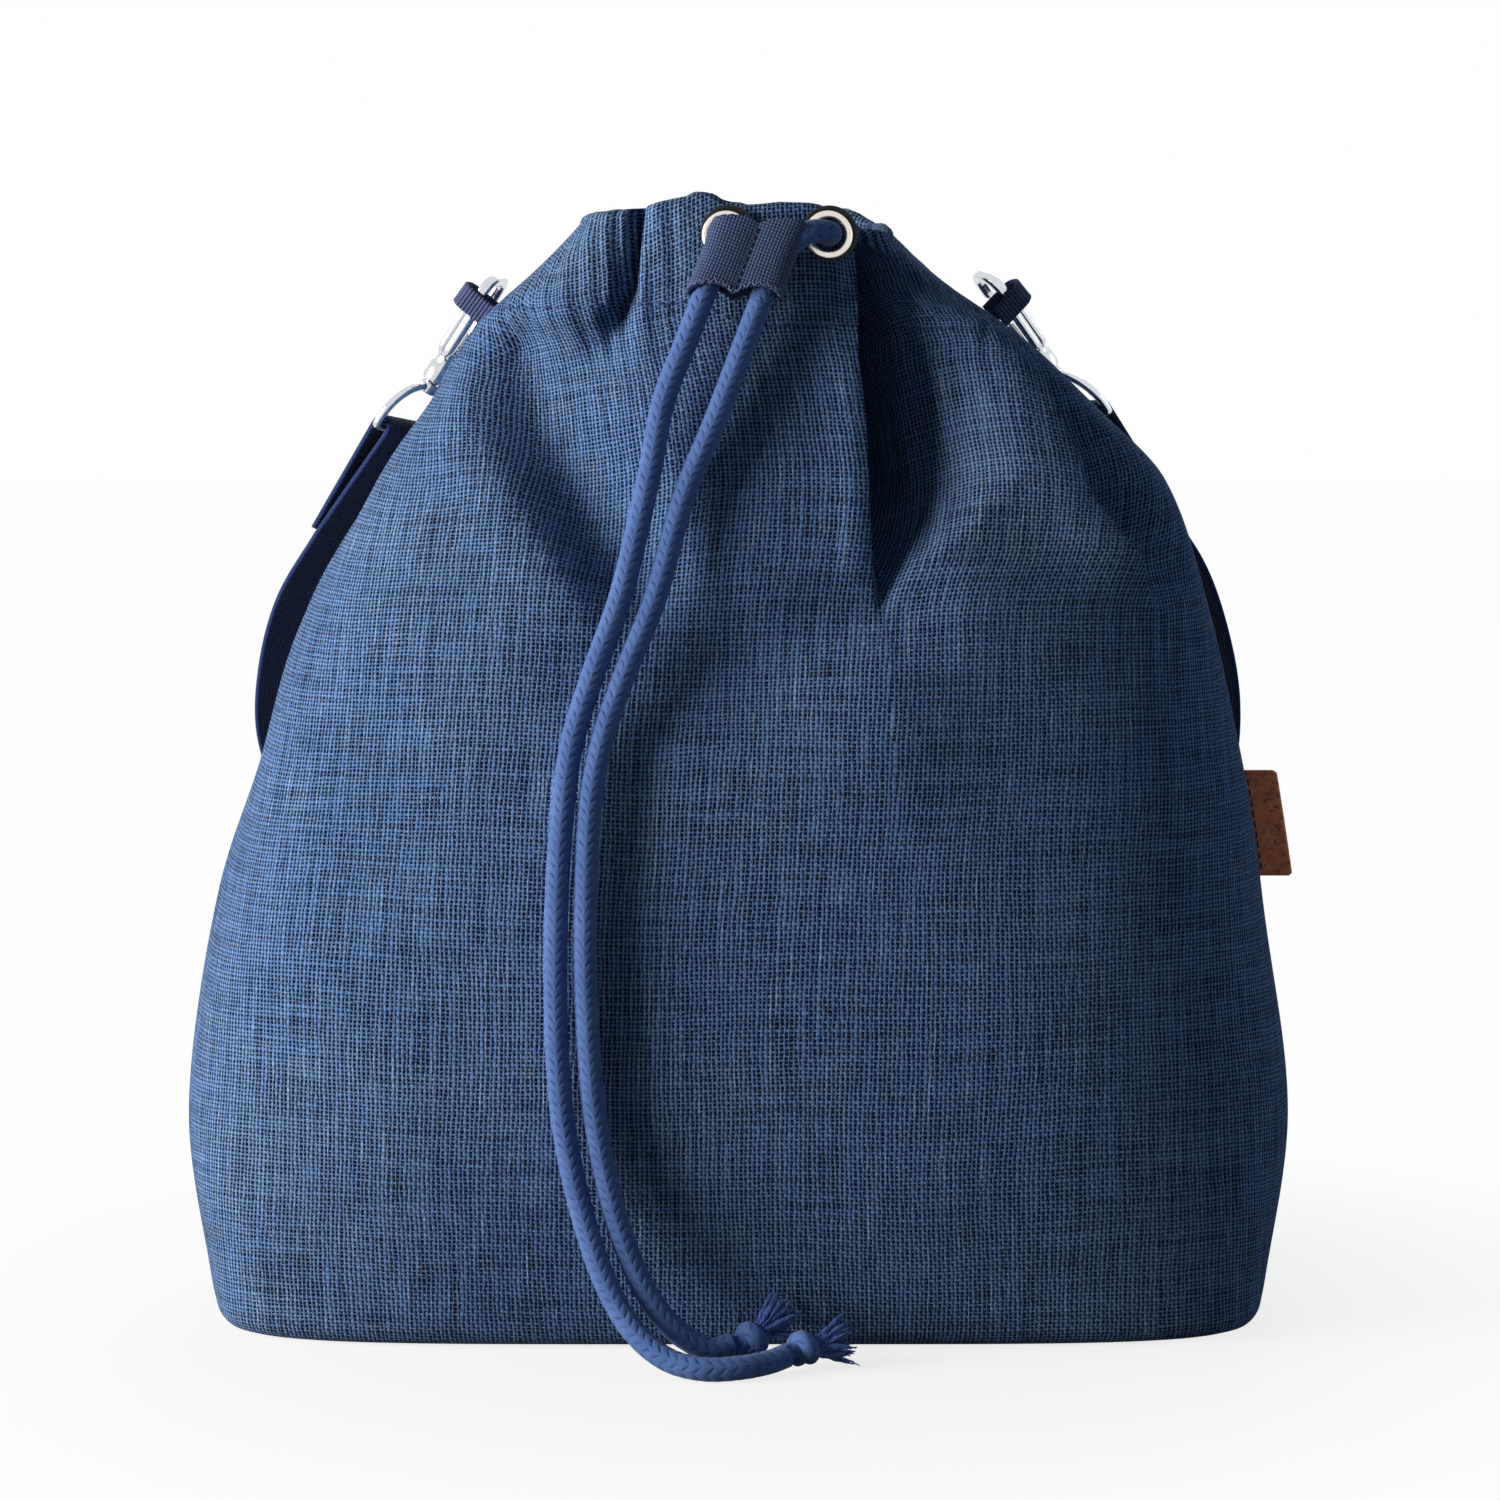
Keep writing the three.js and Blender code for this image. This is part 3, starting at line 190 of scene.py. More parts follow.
# scales are per mm of cloth, along and up; shares are of a noise from 0 to 1
linen = {
    # gap is the near-black colour down between the threads: painted shade in the open weave
    "warpPitch": 1.15, "weftPitch": 1.06, "gap": rgb(6, 15, 40), "thread": rgb(104, 140, 192),
    "pale": rgb(152, 180, 212), "relief": 0.5,
    "drift": 3.5, "driftScale": 0.017, "wobble": 0.75, "wobbleScale": (0.6, 0.16),
    "warpScale": (0.87, 0.03), "weftScale": (0.03, 0.94), "warpGap": (0.76, 0.4), "weftGap": (0.8, 0.42),
    "gapEdge": 0.26, "warpHigh": 0.7, "weftHigh": 0.52, "crossing": 0.3,
    "slubScale": (0.8, 0.045), "slubShare": (0.6, 0.76), "slubPale": 0.6, "slubHigh": 0.2,
    "wornScale": 0.012, "wornShare": (0.4, 0.75), "wornPale": 0.2,
    "streak": 0.62, "warpStreak": 0.36, "weftStreak": 0.4, "fuzzScale": 3.4, "fuzzHigh": 0.14,
}


def linenPaint(name, look):  # open plain weave, the upright threads the stronger
    paint = Paint(name, Roughness=0.95, Sheen_Weight=0.05, Sheen_Roughness=0.5, Specular_IOR_Level=0.02)
    u, v = paint.place()
    across, along = look["wobbleScale"]
    drift, driftOther = (paint.patches(u, v, (look["driftScale"],) * 2, shift) - 0.5 for shift in ((0, 0), (31, 0)))
    wobble = paint.patches(u, v, (across, along)) - 0.5
    wobbleOther = paint.patches(u, v, (along, across), (0, 17)) - 0.5
    a = u / look["warpPitch"] + drift * look["drift"] + wobble * look["wobble"]
    b = v / look["weftPitch"] + driftOther * look["drift"] + wobbleOther * look["wobble"]
    over = paint.sine(a) * paint.sine(b)
    alongWarp = paint.patches(u, v, look["warpScale"], detail=2, rough=0.6)
    alongWeft = paint.patches(u, v, look["weftScale"], (0, 40), 2, 0.6)
    warpGap = paint.clamp(alongWarp, 0.3, 0.7, *look["warpGap"])
    weftGap = paint.clamp(alongWeft, 0.3, 0.7, *look["weftGap"])
    warp = paint.clamp(abs(paint.sine(a)), warpGap, warpGap + look["gapEdge"])
    weft = paint.clamp(abs(paint.sine(b)), weftGap, weftGap + look["gapEdge"])
    warp = warp * (look["warpHigh"] + look["crossing"] * over)
    weft = weft * (look["weftHigh"] - look["crossing"] * over)
    height = paint.sum("MAXIMUM", warp, weft)
    slub = paint.clamp(paint.patches(u, v, look["slubScale"], (9, 0)), *look["slubShare"])
    worn = paint.patches(u, v, (look["wornScale"],) * 2, (0, 3), 3, 0.55)
    pale = slub * look["slubPale"] + paint.clamp(worn, *look["wornShare"], 0.0, look["wornPale"])
    thread = paint.tint(pale, look["thread"], look["pale"])
    streak = look["streak"] + look["warpStreak"] * alongWarp + look["weftStreak"] * alongWeft
    # low places of the weave take the gap colour, painted shade between the threads; streak is the threads' own
    # uneven tone
    paint.set("Base Color", paint.shade(paint.tint(height, look["gap"], thread), streak))
    fuzz = paint.noise(paint.point(u, v), look["fuzzScale"], 2)
    paint.relief(height + look["fuzzHigh"] * fuzz + look["slubHigh"] * slub, look["relief"])
    return paint.material


liningLook = {"pitch": 0.5, "dark": rgb(20, 28, 52), "light": rgb(44, 56, 92), "cloudScale": 0.03, "relief": 0.08}


def liningPaint(name, look):
    paint = Paint(name, Roughness=0.75, Specular_IOR_Level=0.25)
    u, v = paint.place()
    ribs = abs(paint.sine((u + v) / look["pitch"] / 2))
    cloud = paint.patches(u, v, (look["cloudScale"],) * 2, detail=3)
    paint.set("Base Color", paint.tint(ribs * (0.35 + 0.5 * cloud), look["dark"], look["light"]))
    paint.relief(ribs, look["relief"])
    return paint.material


# wales are the rows along the cord, a course is one crease's length; depth is a share of the diameter
cordLook = {
    "diameter": 6.0, "wales": 4, "course": 2.7, "slant": 1.5, "depth": 0.035,
    "rowStart": (0.04, 0.14), "rowEnd": (0.36, 0.48), "filament": 0.5, "relief": 0.3,
    # the colour for the creases is painted shade down in the knit
    "creaseAndShade": rgb(48, 73, 124), "plait": rgb(72, 101, 155), "bright": rgb(86, 115, 168),
}
cordDiameter = cordLook["diameter"]


def cordPaint(name, look):  # knitted sheath: rows of short slanting creases
    paint = Paint(name, Roughness=0.88, Sheen_Weight=0.1, Sheen_Roughness=0.5, Specular_IOR_Level=0.1)
    u, v = paint.place()
    wale = paint.sum("PINGPONG", u * (look["wales"] / (math.pi * look["diameter"])), 0.5)
    wobble = paint.noise(paint.body(0.25), 1, 2) - 0.5
    phase = v / look["course"] + look["slant"] * wale + 0.5 * wobble
    height = paint.clamp(abs(paint.sine(phase)), 0.0, 0.8)
    inside = paint.clamp(wale, *look["rowStart"]) * (1 - paint.clamp(wale, *look["rowEnd"]))
    soft = paint.clamp(paint.noise(paint.body(0.4), 1, 2), 0.3, 0.65, 0.35, 1.0)
    # creases are sunk by the relief below and painted darker as well: painted shade
    creaseAndShade = (1 - height) * inside * soft
    hair = abs(paint.sine((u + v) / look["filament"]))
    cloud = paint.noise(paint.body(0.12), 1, 3)
    plait = paint.tint(paint.clamp(cloud, 0.3, 0.75) * 0.7 + 0.15 * hair, look["plait"], look["bright"])
    paint.set("Base Color", paint.tint(creaseAndShade * 0.8, plait, look["creaseAndShade"]))
    lumps = paint.noise(paint.body(0.9), 1, 2)
    paint.relief(0.12 * hair - 0.5 * creaseAndShade + 0.4 * lumps, look["relief"])
    return paint.material


# half is where the edge band starts, from the middle of the webbing; on the strap its lighter blue is a painted
# highlight along both edges
webbing = {
    "slider": {
        "name": "slider_webbing", "weave": "grid", "rib": 0.85, "pick": 0.85, "half": 40, "relief": 0.2,
        "dark": rgb(45, 60, 92), "light": rgb(82, 100, 140), "edge": rgb(75, 92, 130),
    },
    "tab": {
        "name": "tab_webbing", "weave": "ribbed across", "rib": 0.7, "pick": 1.0, "half": 3.1, "relief": 0.3,
        "dark": rgb(42, 48, 82), "light": rgb(84, 92, 134), "edge": rgb(70, 78, 118),
    },
    "strap": {
        "name": "strap_webbing", "weave": "ribbed along", "rib": 1.25, "pick": 0.8, "half": 9.2, "relief": 0.3,
        # edge: lighter blue along the strap's edges, a painted highlight
        "dark": rgb(18, 22, 40), "light": rgb(48, 57, 88), "edge": rgb(38, 54, 102),
    },
}


def webbingPaint(look):
    paint = Paint(look["name"], Roughness=0.85, Sheen_Weight=0.08, Sheen_Roughness=0.5, Specular_IOR_Level=0.15)
    u, v = paint.place()
    warp, weft = paint.sine(u / look["rib"]), paint.sine(v / look["pick"])
    if look["weave"] == "grid":
        height = rib = abs(warp) * abs(weft)
    else:  # plain weave: one thread over, one under
        over = warp * weft
        height = paint.sum("MAXIMUM", abs(warp) * (0.56 + 0.44 * over), abs(weft) * (0.56 - 0.44 * over))
        rib = abs(weft if look["weave"] == "ribbed across" else warp)
    wear = paint.patches(u, v, (0.2, 0.05), detail=3)
    lit = paint.clamp(height * 0.5 + rib * 0.5, 0.1, 0.8) * (0.5 + wear)
    # edge band in the edge colour; on the strap it is a painted highlight along both edges
    edgeTintAndHighlight = paint.clamp(abs(u), look["half"] - 0.25, look["half"] + 0.2)
    paint.set("Base Color", paint.tint(edgeTintAndHighlight, paint.tint(lit, look["dark"], look["light"]), look["edge"]))
    paint.relief(height * 0.7 + 0.8 * rib + 0.2 * paint.noise(paint.point(u, v), 2.4, 2), look["relief"])
    return paint.material


metals = {
    "nickel": {"name": "satin_nickel", "colour": rgb(226, 220, 210), "rough": (0.24, 0.36), "grain": 0.05},
    "chrome": {"name": "bright_chrome", "colour": rgb(214, 217, 222), "rough": (0.08, 0.18), "grain": 0.02},
    "steel": {"name": "spring_steel", "colour": rgb(156, 158, 163), "rough": (0.24, 0.4), "grain": 0.06},
}


def metalPaint(look):
    paint = Paint(look["name"], Metallic=1.0)
    cloud = paint.noise(paint.body(0.35), 1, 4, 0.6)
    scuff = paint.clamp(paint.noise(paint.body(2.6), 1, 3), 0.55, 0.7)
    paint.set("Roughness", paint.clamp(cloud, 0.3, 0.7, *look["rough"]) + scuff * 0.06)
    paint.set("Base Color", paint.shade(look["colour"], 0.94 + 0.08 * cloud - 0.05 * scuff))
    paint.relief(paint.noise(paint.body(1.1), 1, 3) + scuff * 0.3, look["grain"])
    return paint.material


# near-black grained ring that stands in for the shade round each eyelet: painted shade
shadeRingLook = {"dark": rgb(8, 8, 10), "grainPale": rgb(30, 31, 34), "grainScale": 2.2, "relief": 0.06}


# paint for the dark rings of painted shade round the eyelets
def shadeRingPaint(name, look):
    paint = Paint(name, Roughness=0.72, Specular_IOR_Level=0.3)
    grain = paint.noise(paint.body(look["grainScale"]), 1, 3)
    paint.set("Base Color", paint.tint(paint.clamp(grain, 0.45, 0.8), look["dark"], look["grainPale"]))
    paint.relief(grain, look["relief"])
    return paint.material


corkLook = {
    "ground": rgb(248, 142, 98), "warm": rgb(255, 164, 116), "fleck": rgb(118, 58, 40), "edge": rgb(206, 106, 74),
    "cloudScale": 0.32, "cellScale": 0.8, "fleckScale": 0.55, "fleckShare": (0.55, 0.66), "relief": 0.16,
}


def corkPaint(name, look):
    paint = Paint(name, Roughness=0.78, Specular_IOR_Level=0.25)
    cloud = paint.noise(paint.body(look["cloudScale"]), 1, 4, 0.6)
    where = {"Vector": paint.body(look["cellScale"]), "Scale": 1.0}
    cell = paint.add("ShaderNodeTexVoronoi", {"feature": "F1"}, where)
    streak = paint.noise(paint.body(look["fleckScale"]), 1, 5, 0.7)
    fleck = paint.clamp(streak, *look["fleckShare"])
    ground = paint.tint(paint.clamp(cloud, 0.35, 0.7), look["ground"], look["warm"])
    grained = paint.tint(paint.clamp(cell, 0.45, 0.8) * 0.5, ground, look["edge"])
    paint.set("Base Color", paint.tint(fleck * 0.85, grained, look["fleck"]))
    paint.relief(cell * 0.4 - fleck * 0.6 + 0.3 * streak, look["relief"])
    return paint.material


threads = {
    "thread": {"name": "sewing_thread", "dark": rgb(24, 40, 84), "light": rgb(66, 98, 158), "twist": 0.9},
    "strand": {"name": "loose_strands", "dark": rgb(18, 38, 92), "light": rgb(66, 96, 160), "twist": 1.6},
    "darkThread": {"name": "dark_thread", "dark": rgb(10, 14, 34), "light": rgb(38, 46, 84), "twist": 0.9},
    "edgeThread": {"name": "edge_thread", "dark": rgb(62, 70, 108), "light": rgb(116, 126, 166), "twist": 0.9},
}


def threadPaint(look):
    paint = Paint(look["name"], Roughness=0.7, Sheen_Weight=0.1, Specular_IOR_Level=0.25)
    u, v = paint.place()
    ply = abs(paint.sine(u * 0.9 + v / look["twist"]))
    cloud = paint.noise(paint.body(0.3), 1, 2)
    paint.set("Base Color", paint.tint(ply * (0.4 + 0.7 * cloud), look["dark"], look["light"]))
    paint.relief(ply, 0.08)
    return paint.material


finish = {
    "linen": linenPaint("linen_weave", linen),
    "lining": liningPaint("lining_twill", liningLook),
    "cord": cordPaint("braided_cotton", cordLook),
    # rubber is the paint of the dark rings of painted shade round the eyelets
    "rubber": shadeRingPaint("black_rubber", shadeRingLook),
    "cork": corkPaint("pressed_cork", corkLook),
}
for maker, looks in ((webbingPaint, webbing), (metalPaint, metals), (threadPaint, threads)):
    finish.update({key: maker(look) for key, look in looks.items()})
print("finishes made")


# from here on, lengths are in mm


def smooth(x, low, high):
    t = np.clip((x - low) / (high - low), 0, 1)
    return t * t * (3 - 2 * t)


def between(x, rise, fall, drop=1.0):  # comes up over rise, and goes down by drop over fall
    return smooth(x, *rise) * (1 - drop * smooth(x, *fall))


def bump(x, middle, half):
    return np.exp(-(((x - middle) / half) ** 2))


def roundEnd(distance, reach, least=0.0):  # share of the full size near a rounded end
    return np.sqrt(np.clip(1 - (1 - np.clip(distance / reach, 0, 1)) ** 2, least, 1))


def unit(v):
    v = np.asarray(v, float)
    return v / np.linalg.norm(v, axis=-1, keepdims=True)


def ringTurns(sides):
    return np.arange(sides) * fullTurn / sides


def runAlong(points):  # length along a route, for each of its points
    return np.append(0, np.cumsum(np.linalg.norm(np.diff(points, axis=0), axis=-1)))


def valuesAt(at, run, values):
    return np.stack([np.interp(at, run, column) for column in values.T], -1)


def softened(row, width):  # moving average that keeps its ends
    return np.convolve(np.pad(row, width // 2, mode="edge"), np.ones(width) / width, mode="valid")


class Mould:  # collects the faces of one piece
    def __init__(self):
        self.points = []
        self.faces = []
        self.flat = []
        self.count = 0

    def grid(self, points, flat=None, wrapAcross=False, wrapAlong=False, flip=False):
        rows, columns = points.shape[:2]
        index = np.arange(rows * columns).reshape(rows, columns) + self.count
        self.points.append(points.reshape(-1, 3))
        self.count += rows * columns
        i, j = np.meshgrid(
            np.arange(rows if wrapAlong else rows - 1),
            np.arange(columns if wrapAcross else columns - 1), indexing="ij",
        )
        nextI = (i + 1) % rows
        nextJ = (j + 1) % columns
        quads = [index[i, j], index[i, nextJ], index[nextI, nextJ], index[nextI, j]]
        if flat is None:
            flat = np.zeros((rows + 1, columns + 1, 2))
        places = [flat[i, j], flat[i, j + 1], flat[i + 1, j + 1], flat[i + 1, j]]  # not wrapped, so no seam smears
        if flip:
            quads, places = quads[::-1], places[::-1]
        self.faces += np.stack(quads, -1).reshape(-1, 4).tolist()
        self.flat.append(np.stack(places, 2).reshape(-1, 2))
        return index

    def strip(self, a, b, flat):
        for k in range(len(a) - 1):
            self.faces.append([int(a[k]), int(a[k + 1]), int(b[k + 1]), int(b[k])])
            self.flat.append(np.array([flat[k], flat[k + 1], flat[k + 1], flat[k]]))

    def cap(self, ring):
        self.faces.append([int(k) for k in ring])
        self.flat.append(np.zeros((len(ring), 2)))

    def capEnds(self, index):
        self.cap(index[0][::-1])
        self.cap(index[-1])

    def shell(self, outer, inner, flat):  # a sheet with two skins and closed edges
        a = self.grid(outer, flat)
        b = self.grid(inner, flat, flip=True)
        self.strip(b[0], a[0], flat[0])
        self.strip(a[-1], b[-1], flat[-1])
        self.strip(a[:, 0], b[:, 0], flat[:, 0])
        self.strip(b[:, -1], a[:, -1], flat[:, -1])

    def piece(self, name, material, body, slot, nodes=()):
        mesh = bpy.data.meshes.new(name)
        mesh.from_pydata((np.concatenate(self.points) * mm).tolist(), [], self.faces)
        layer = mesh.uv_layers.new(name="flat")
        layer.data.foreach_set("uv", np.concatenate(self.flat).ravel())
        mesh.materials.append(finish[material])
        form = bmesh.new()
        form.from_mesh(mesh)
        bmesh.ops.recalc_face_normals(form, faces=form.faces)
        form.to_mesh(mesh)
        form.free()
        mesh.polygons.foreach_set("use_smooth", [True] * len(mesh.polygons))
        piece = bpy.data.objects.new(name, mesh)
        scene.collection.objects.link(piece)
        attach(piece, body)
        if nodes:
            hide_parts(*nodes)
        return piece


def evenly(route, step):  # the route again, with points a step apart, and the length to each
    route = np.asarray(route, float)
    run = runAlong(route)
    at = np.linspace(0, run[-1], max(int(round(run[-1] / step)), 2) + 1)
    return valuesAt(at, run, route), at


def smoothRoute(points, step, samples=40):  # one soft curve through the points
    p = np.asarray(points, float)
    p = np.vstack([2 * p[0] - p[1], p, 2 * p[-1] - p[-2]])
    found = []
    for i in range(1, len(p) - 2):
        p0, p1, p2, p3 = p[i - 1:i + 3]
        t1 = np.linalg.norm(p1 - p0) ** 0.5
        t2 = t1 + np.linalg.norm(p2 - p1) ** 0.5
        t3 = t2 + np.linalg.norm(p3 - p2) ** 0.5
        t = np.linspace(t1, t2, samples, endpoint=False)[:, None]
        a1 = (t1 - t) / t1 * p0 + t / t1 * p1
        a2 = (t2 - t) / (t2 - t1) * p1 + (t - t1) / (t2 - t1) * p2
        a3 = (t3 - t) / (t3 - t2) * p2 + (t - t2) / (t3 - t2) * p3
        b1 = (t2 - t) / t2 * a1 + t / t2 * a2
        b2 = (t3 - t) / (t3 - t1) * a2 + (t - t1) / (t3 - t1) * a3
        found.append((t2 - t) / (t2 - t1) * b1 + (t - t1) / (t2 - t1) * b2)
    return evenly(np.vstack(found + [p[-2:-1]]), step)


def carried(route, side, closed):  # frames that turn with the route without twisting
    along = np.roll(route, -1, 0) - np.roll(route, 1, 0) if closed else np.gradient(route, axis=0)
    along = unit(along)
    sides = np.empty_like(route)
    side = np.asarray(side, float)
    for k, way in enumerate(along):
        side = unit(side - way * side.dot(way))
        sides[k] = side
    return sides, np.cross(along, sides)


def flatTube(around, run):  # flat coordinates of a tube: round it, and along its run
    flat = np.zeros((len(run) + 1, len(around), 2))
    flat[..., 0] = around
    flat[..., 1] = np.append(run, run[-1] + 1)[:, None]
    return flat


def tube(mould, route, run, radius, sides, side, closed=False, oval=1.0):
    across, other = carried(route, side, closed)
    turn = ringTurns(sides)
    radius = radius[:, None] if np.ndim(radius) == 1 else radius
    radius = np.broadcast_to(radius, (len(route), sides))
    ring = across[:, None] * (np.cos(turn)[:, None] * radius[..., None])
    ring = ring + other[:, None] * (np.sin(turn)[:, None] * radius[..., None] * oval)
    flat = flatTube(np.arange(sides + 1) / sides * fullTurn * float(np.mean(radius)), run)
    index = mould.grid(route[:, None] + ring, flat, wrapAcross=True, wrapAlong=closed)
    if not closed:
        mould.capEnds(index)


def braid(mould, route, run, diameter, side, slim=1.0, sides=40):  # knitted cord
    wale = np.abs((ringTurns(sides)[None] / fullTurn * cordLook["wales"] + 0.5) % 1 - 0.5)
    phase = run[:, None] / cordLook["course"] + cordLook["slant"] * wale
    high = np.clip(np.abs(np.sin(math.pi * phase)) * 1.5, 0, 1)
    sunk = (1 - high) ** 1.4 * between(wale, cordLook["rowStart"], cordLook["rowEnd"])
    radius = diameter / 2 - cordLook["depth"] * diameter * sunk
    tube(mould, route, run, radius * np.reshape(slim, (-1, 1)), sides, side)


def lathe(mould, profile, centre, axis, side, sides, closed=False):  # profile of radius and height
    axis = unit(axis)
    side = np.asarray(side, float)
    side = unit(side - axis * side.dot(axis))
    other = np.cross(axis, side)
    turn = ringTurns(sides)
    profile = np.asarray(profile, float)
    ring = np.cos(turn)[:, None] * side + np.sin(turn)[:, None] * other
    points = np.asarray(centre) + profile[:, 1, None, None] * axis + profile[:, 0, None, None] * ring
    index = mould.grid(points, None, wrapAcross=True, wrapAlong=closed)
    if not closed:
        mould.capEnds(index)


def rounded(corners, radius, steps):  # an open line with its inner corners rounded
    corners = np.asarray(corners, float)
    found = [corners[0]]
    for before, here, after in zip(corners, corners[1:], corners[2:]):
        before, after = before - here, after - here
        reach = min(radius, 0.49 * np.linalg.norm(before), 0.49 * np.linalg.norm(after))
        start, end = here + unit(before) * reach, here + unit(after) * reach
        for t in np.linspace(0, 1, steps + 1):
            found.append((1 - t) ** 2 * start + 2 * t * (1 - t) * here + t * t * end)
    return np.array(found + [corners[-1]])


stitchForm = {  # height of a stitch along its length, in thread radii: both ends are sunk in the cloth
    "along": np.array([0, 0.12, 0.32, 0.5, 0.68, 0.88, 1]),
    "lift": np.array([-1.2, 0.1, 0.55, 0.65, 0.55, 0.1, -1.2]), "sides": 7, "firstAt": 0.3,
}


def stitch(mould, a, b, up, radius):
    a, b, up = (np.asarray(v, float) for v in (a, b, up))
    t = stitchForm["along"]
    route = a + (b - a) * t[:, None] + up * (stitchForm["lift"] * radius)[:, None]
    tube(mould, route, t * np.linalg.norm(b - a), radius, stitchForm["sides"], np.cross(b - a, up))


def stitches(mould, line, ups, length, gap, radius):
    route, run = evenly(line, 0.25)
    ups = np.asarray(ups, float)
    ups = valuesAt(np.linspace(0, len(ups) - 1, len(route)), np.arange(len(ups)), ups)
    start = stitchForm["firstAt"]
    while start + length < run[-1]:
        a, b = (valuesAt(s, run, route) for s in (start, start + length))
        middle = int(np.searchsorted(run, start + length / 2))
        stitch(mould, a, b, unit(ups[min(middle, len(ups) - 1)]), radius)
        start += length + gap


# form of the bag, the same levels as the solids; sizes at each level are shares of the full size
bagForm = {
    "height": 291.0, "halfWidth": 145.5, "halfDepth": 74.0, "hemLow": 264.0, "cloth": 1.2,
    "levels": (0, 0.041, 0.192, 0.378, 0.505, 0.639, 0.749, 0.811, 0.893, 0.945, 1),
    "left": (0.935, 0.955, 1, 0.942, 0.866, 0.777, 0.65, 0.567, 0.467, 0.371, 0.275),
    "right": (0.931, 0.948, 0.99, 0.942, 0.9, 0.842, 0.763, 0.646, 0.481, 0.371, 0.261),
    "deep": (0.838, 0.892, 1, 0.973, 0.892, 0.764, 0.628, 0.541, 0.446, 0.392, 0.358),
    "square": (5, 4.4, 3.3, 2.9, 2.6, 2.4, 2.3, 2.3, 2.4, 2.6, 2.8),
}
bagHeight = bagForm["height"]
levelZ = np.array(bagForm["levels"]) * bagHeight
levelScale = {
    "left": bagForm["halfWidth"], "right": bagForm["halfWidth"], "deep": bagForm["halfDepth"], "square": 1.0,
}
levelSize = {key: np.array(bagForm[key]) * scale for key, scale in levelScale.items()}


def sizeAt(z, key):
    z = np.clip(np.asarray(z, float), 0, bagHeight)
    size = levelSize[key]
    i = np.clip(np.searchsorted(levelZ, z) - 1, 0, len(levelZ) - 2)
    rise = np.diff(size) / np.diff(levelZ)
    slope = np.concatenate([rise[:1], (size[2:] - size[:-2]) / (levelZ[2:] - levelZ[:-2]), rise[-1:]])
    span = levelZ[i + 1] - levelZ[i]
    t = (z - levelZ[i]) / span
    ends = (2 * t**3 - 3 * t**2 + 1) * size[i] + (3 * t**2 - 2 * t**3) * size[i + 1]
    return ends + span * ((t**3 - 2 * t**2 + t) * slope[i] + (t**3 - t**2) * slope[i + 1])


def bagSection(turn, z):  # point and level outward direction, turn in radians
    c, s = np.cos(turn), np.sin(turn)
    square = sizeAt(z, "square")
    wide = np.where(c < 0, sizeAt(z, "left"), sizeAt(z, "right"))
    deep = sizeAt(z, "deep")
    x = wide * np.sign(c) * np.abs(c) ** (2 / square)
    y = deep * np.sign(s) * np.abs(s) ** (2 / square)
    outX = np.sign(c) * (np.abs(x) / wide) ** (square - 1) / wide
    outY = np.sign(s) * (np.abs(y) / deep) ** (square - 1) / deep
    size = np.hypot(outX, outY)
    return x, y, outX / size, outY / size


def arch(share, power):
    return (1 - np.abs(share) ** power) ** (1 / power)


def frontY(x, z):
    wide = np.where(x < 0, sizeAt(z, "left"), sizeAt(z, "right"))
    return -sizeAt(z, "deep") * arch(x / wide, sizeAt(z, "square"))


def slopes(surface, a, z, step=0.2):
    across = (surface(a + step, z) - surface(a - step, z)) / (2 * step)
    return across, (surface(a, z + step) - surface(a, z - step)) / (2 * step)


def frontFacing(x, z):
    slopeX, slopeZ = slopes(frontY, x, z)
    return unit(np.array([slopeX, -1.0, slopeZ]))


def sideFacing(side, y, z):
    def reach(y, z):
        return sizeAt(z, side) * arch(y / sizeAt(z, "deep"), sizeAt(z, "square"))
    slopeY, slopeZ = slopes(reach, y, z)
    return unit(np.array([1.0, -slopeY, -slopeZ])) * (np.array([-1, 1, 1]) if side == "left" else 1)


# lines that the cloth is creased along, as x and z on the front
creases = {
    "groove": ((-75, 0), (-70, 120), (-60, 189), (-53, 209), (-44.6, 234), (-35.7, 255), (-29, 269), (-27.5, 291)),
    "pleat": ((42, 0), (38, 120), (34, 188), (33, 202), (31.9, 234), (30, 250), (29.8, 271), (29, 291)),
    "shoulder": ((112, 0), (113, 120), (110, 175), (101.4, 198), (88.6, 214.5), (82, 230), (74.5, 248), (61, 263),
                 (46, 277), (33.5, 291)),
}
frontColumns = (74, 86, 84, 56)  # columns of mesh from seam to seam, closest together at the crease lines
# pleats of the back: their places as shares from seam to seam, and the height at which each fades out
backPleats = {
    "share": (0.13, 0.29, 0.42, 0.56, 0.7, 0.86), "depth": (4.5, 7.0, 5.0, 7.5, 5.5, 4.5),
    "low": (196, 178, 204, 172, 198, 190), "columns": (22, 30, 26, 28, 28, 30, 24),
}
crowding = 0.72


def crowd(count):  # shares from 0 to 1, closer together at both ends
    t = np.linspace(0, 1, count, endpoint=False)
    return t - crowding * np.sin(fullTurn * t) / fullTurn


def halfTurns(first, samples=501):  # fine turns over half the bag, closer where the section turns fast
    t = np.linspace(0, 1, samples)
    quarter = t - np.sin(fullTurn * t) / fullTurn
    quarter[0], quarter[-1] = 1e-7, 1 - 1e-7  # just off the seams and the middle, where the section has no direction
    return np.radians(first + 90 * np.concatenate([quarter, 1 + quarter[1:]]))


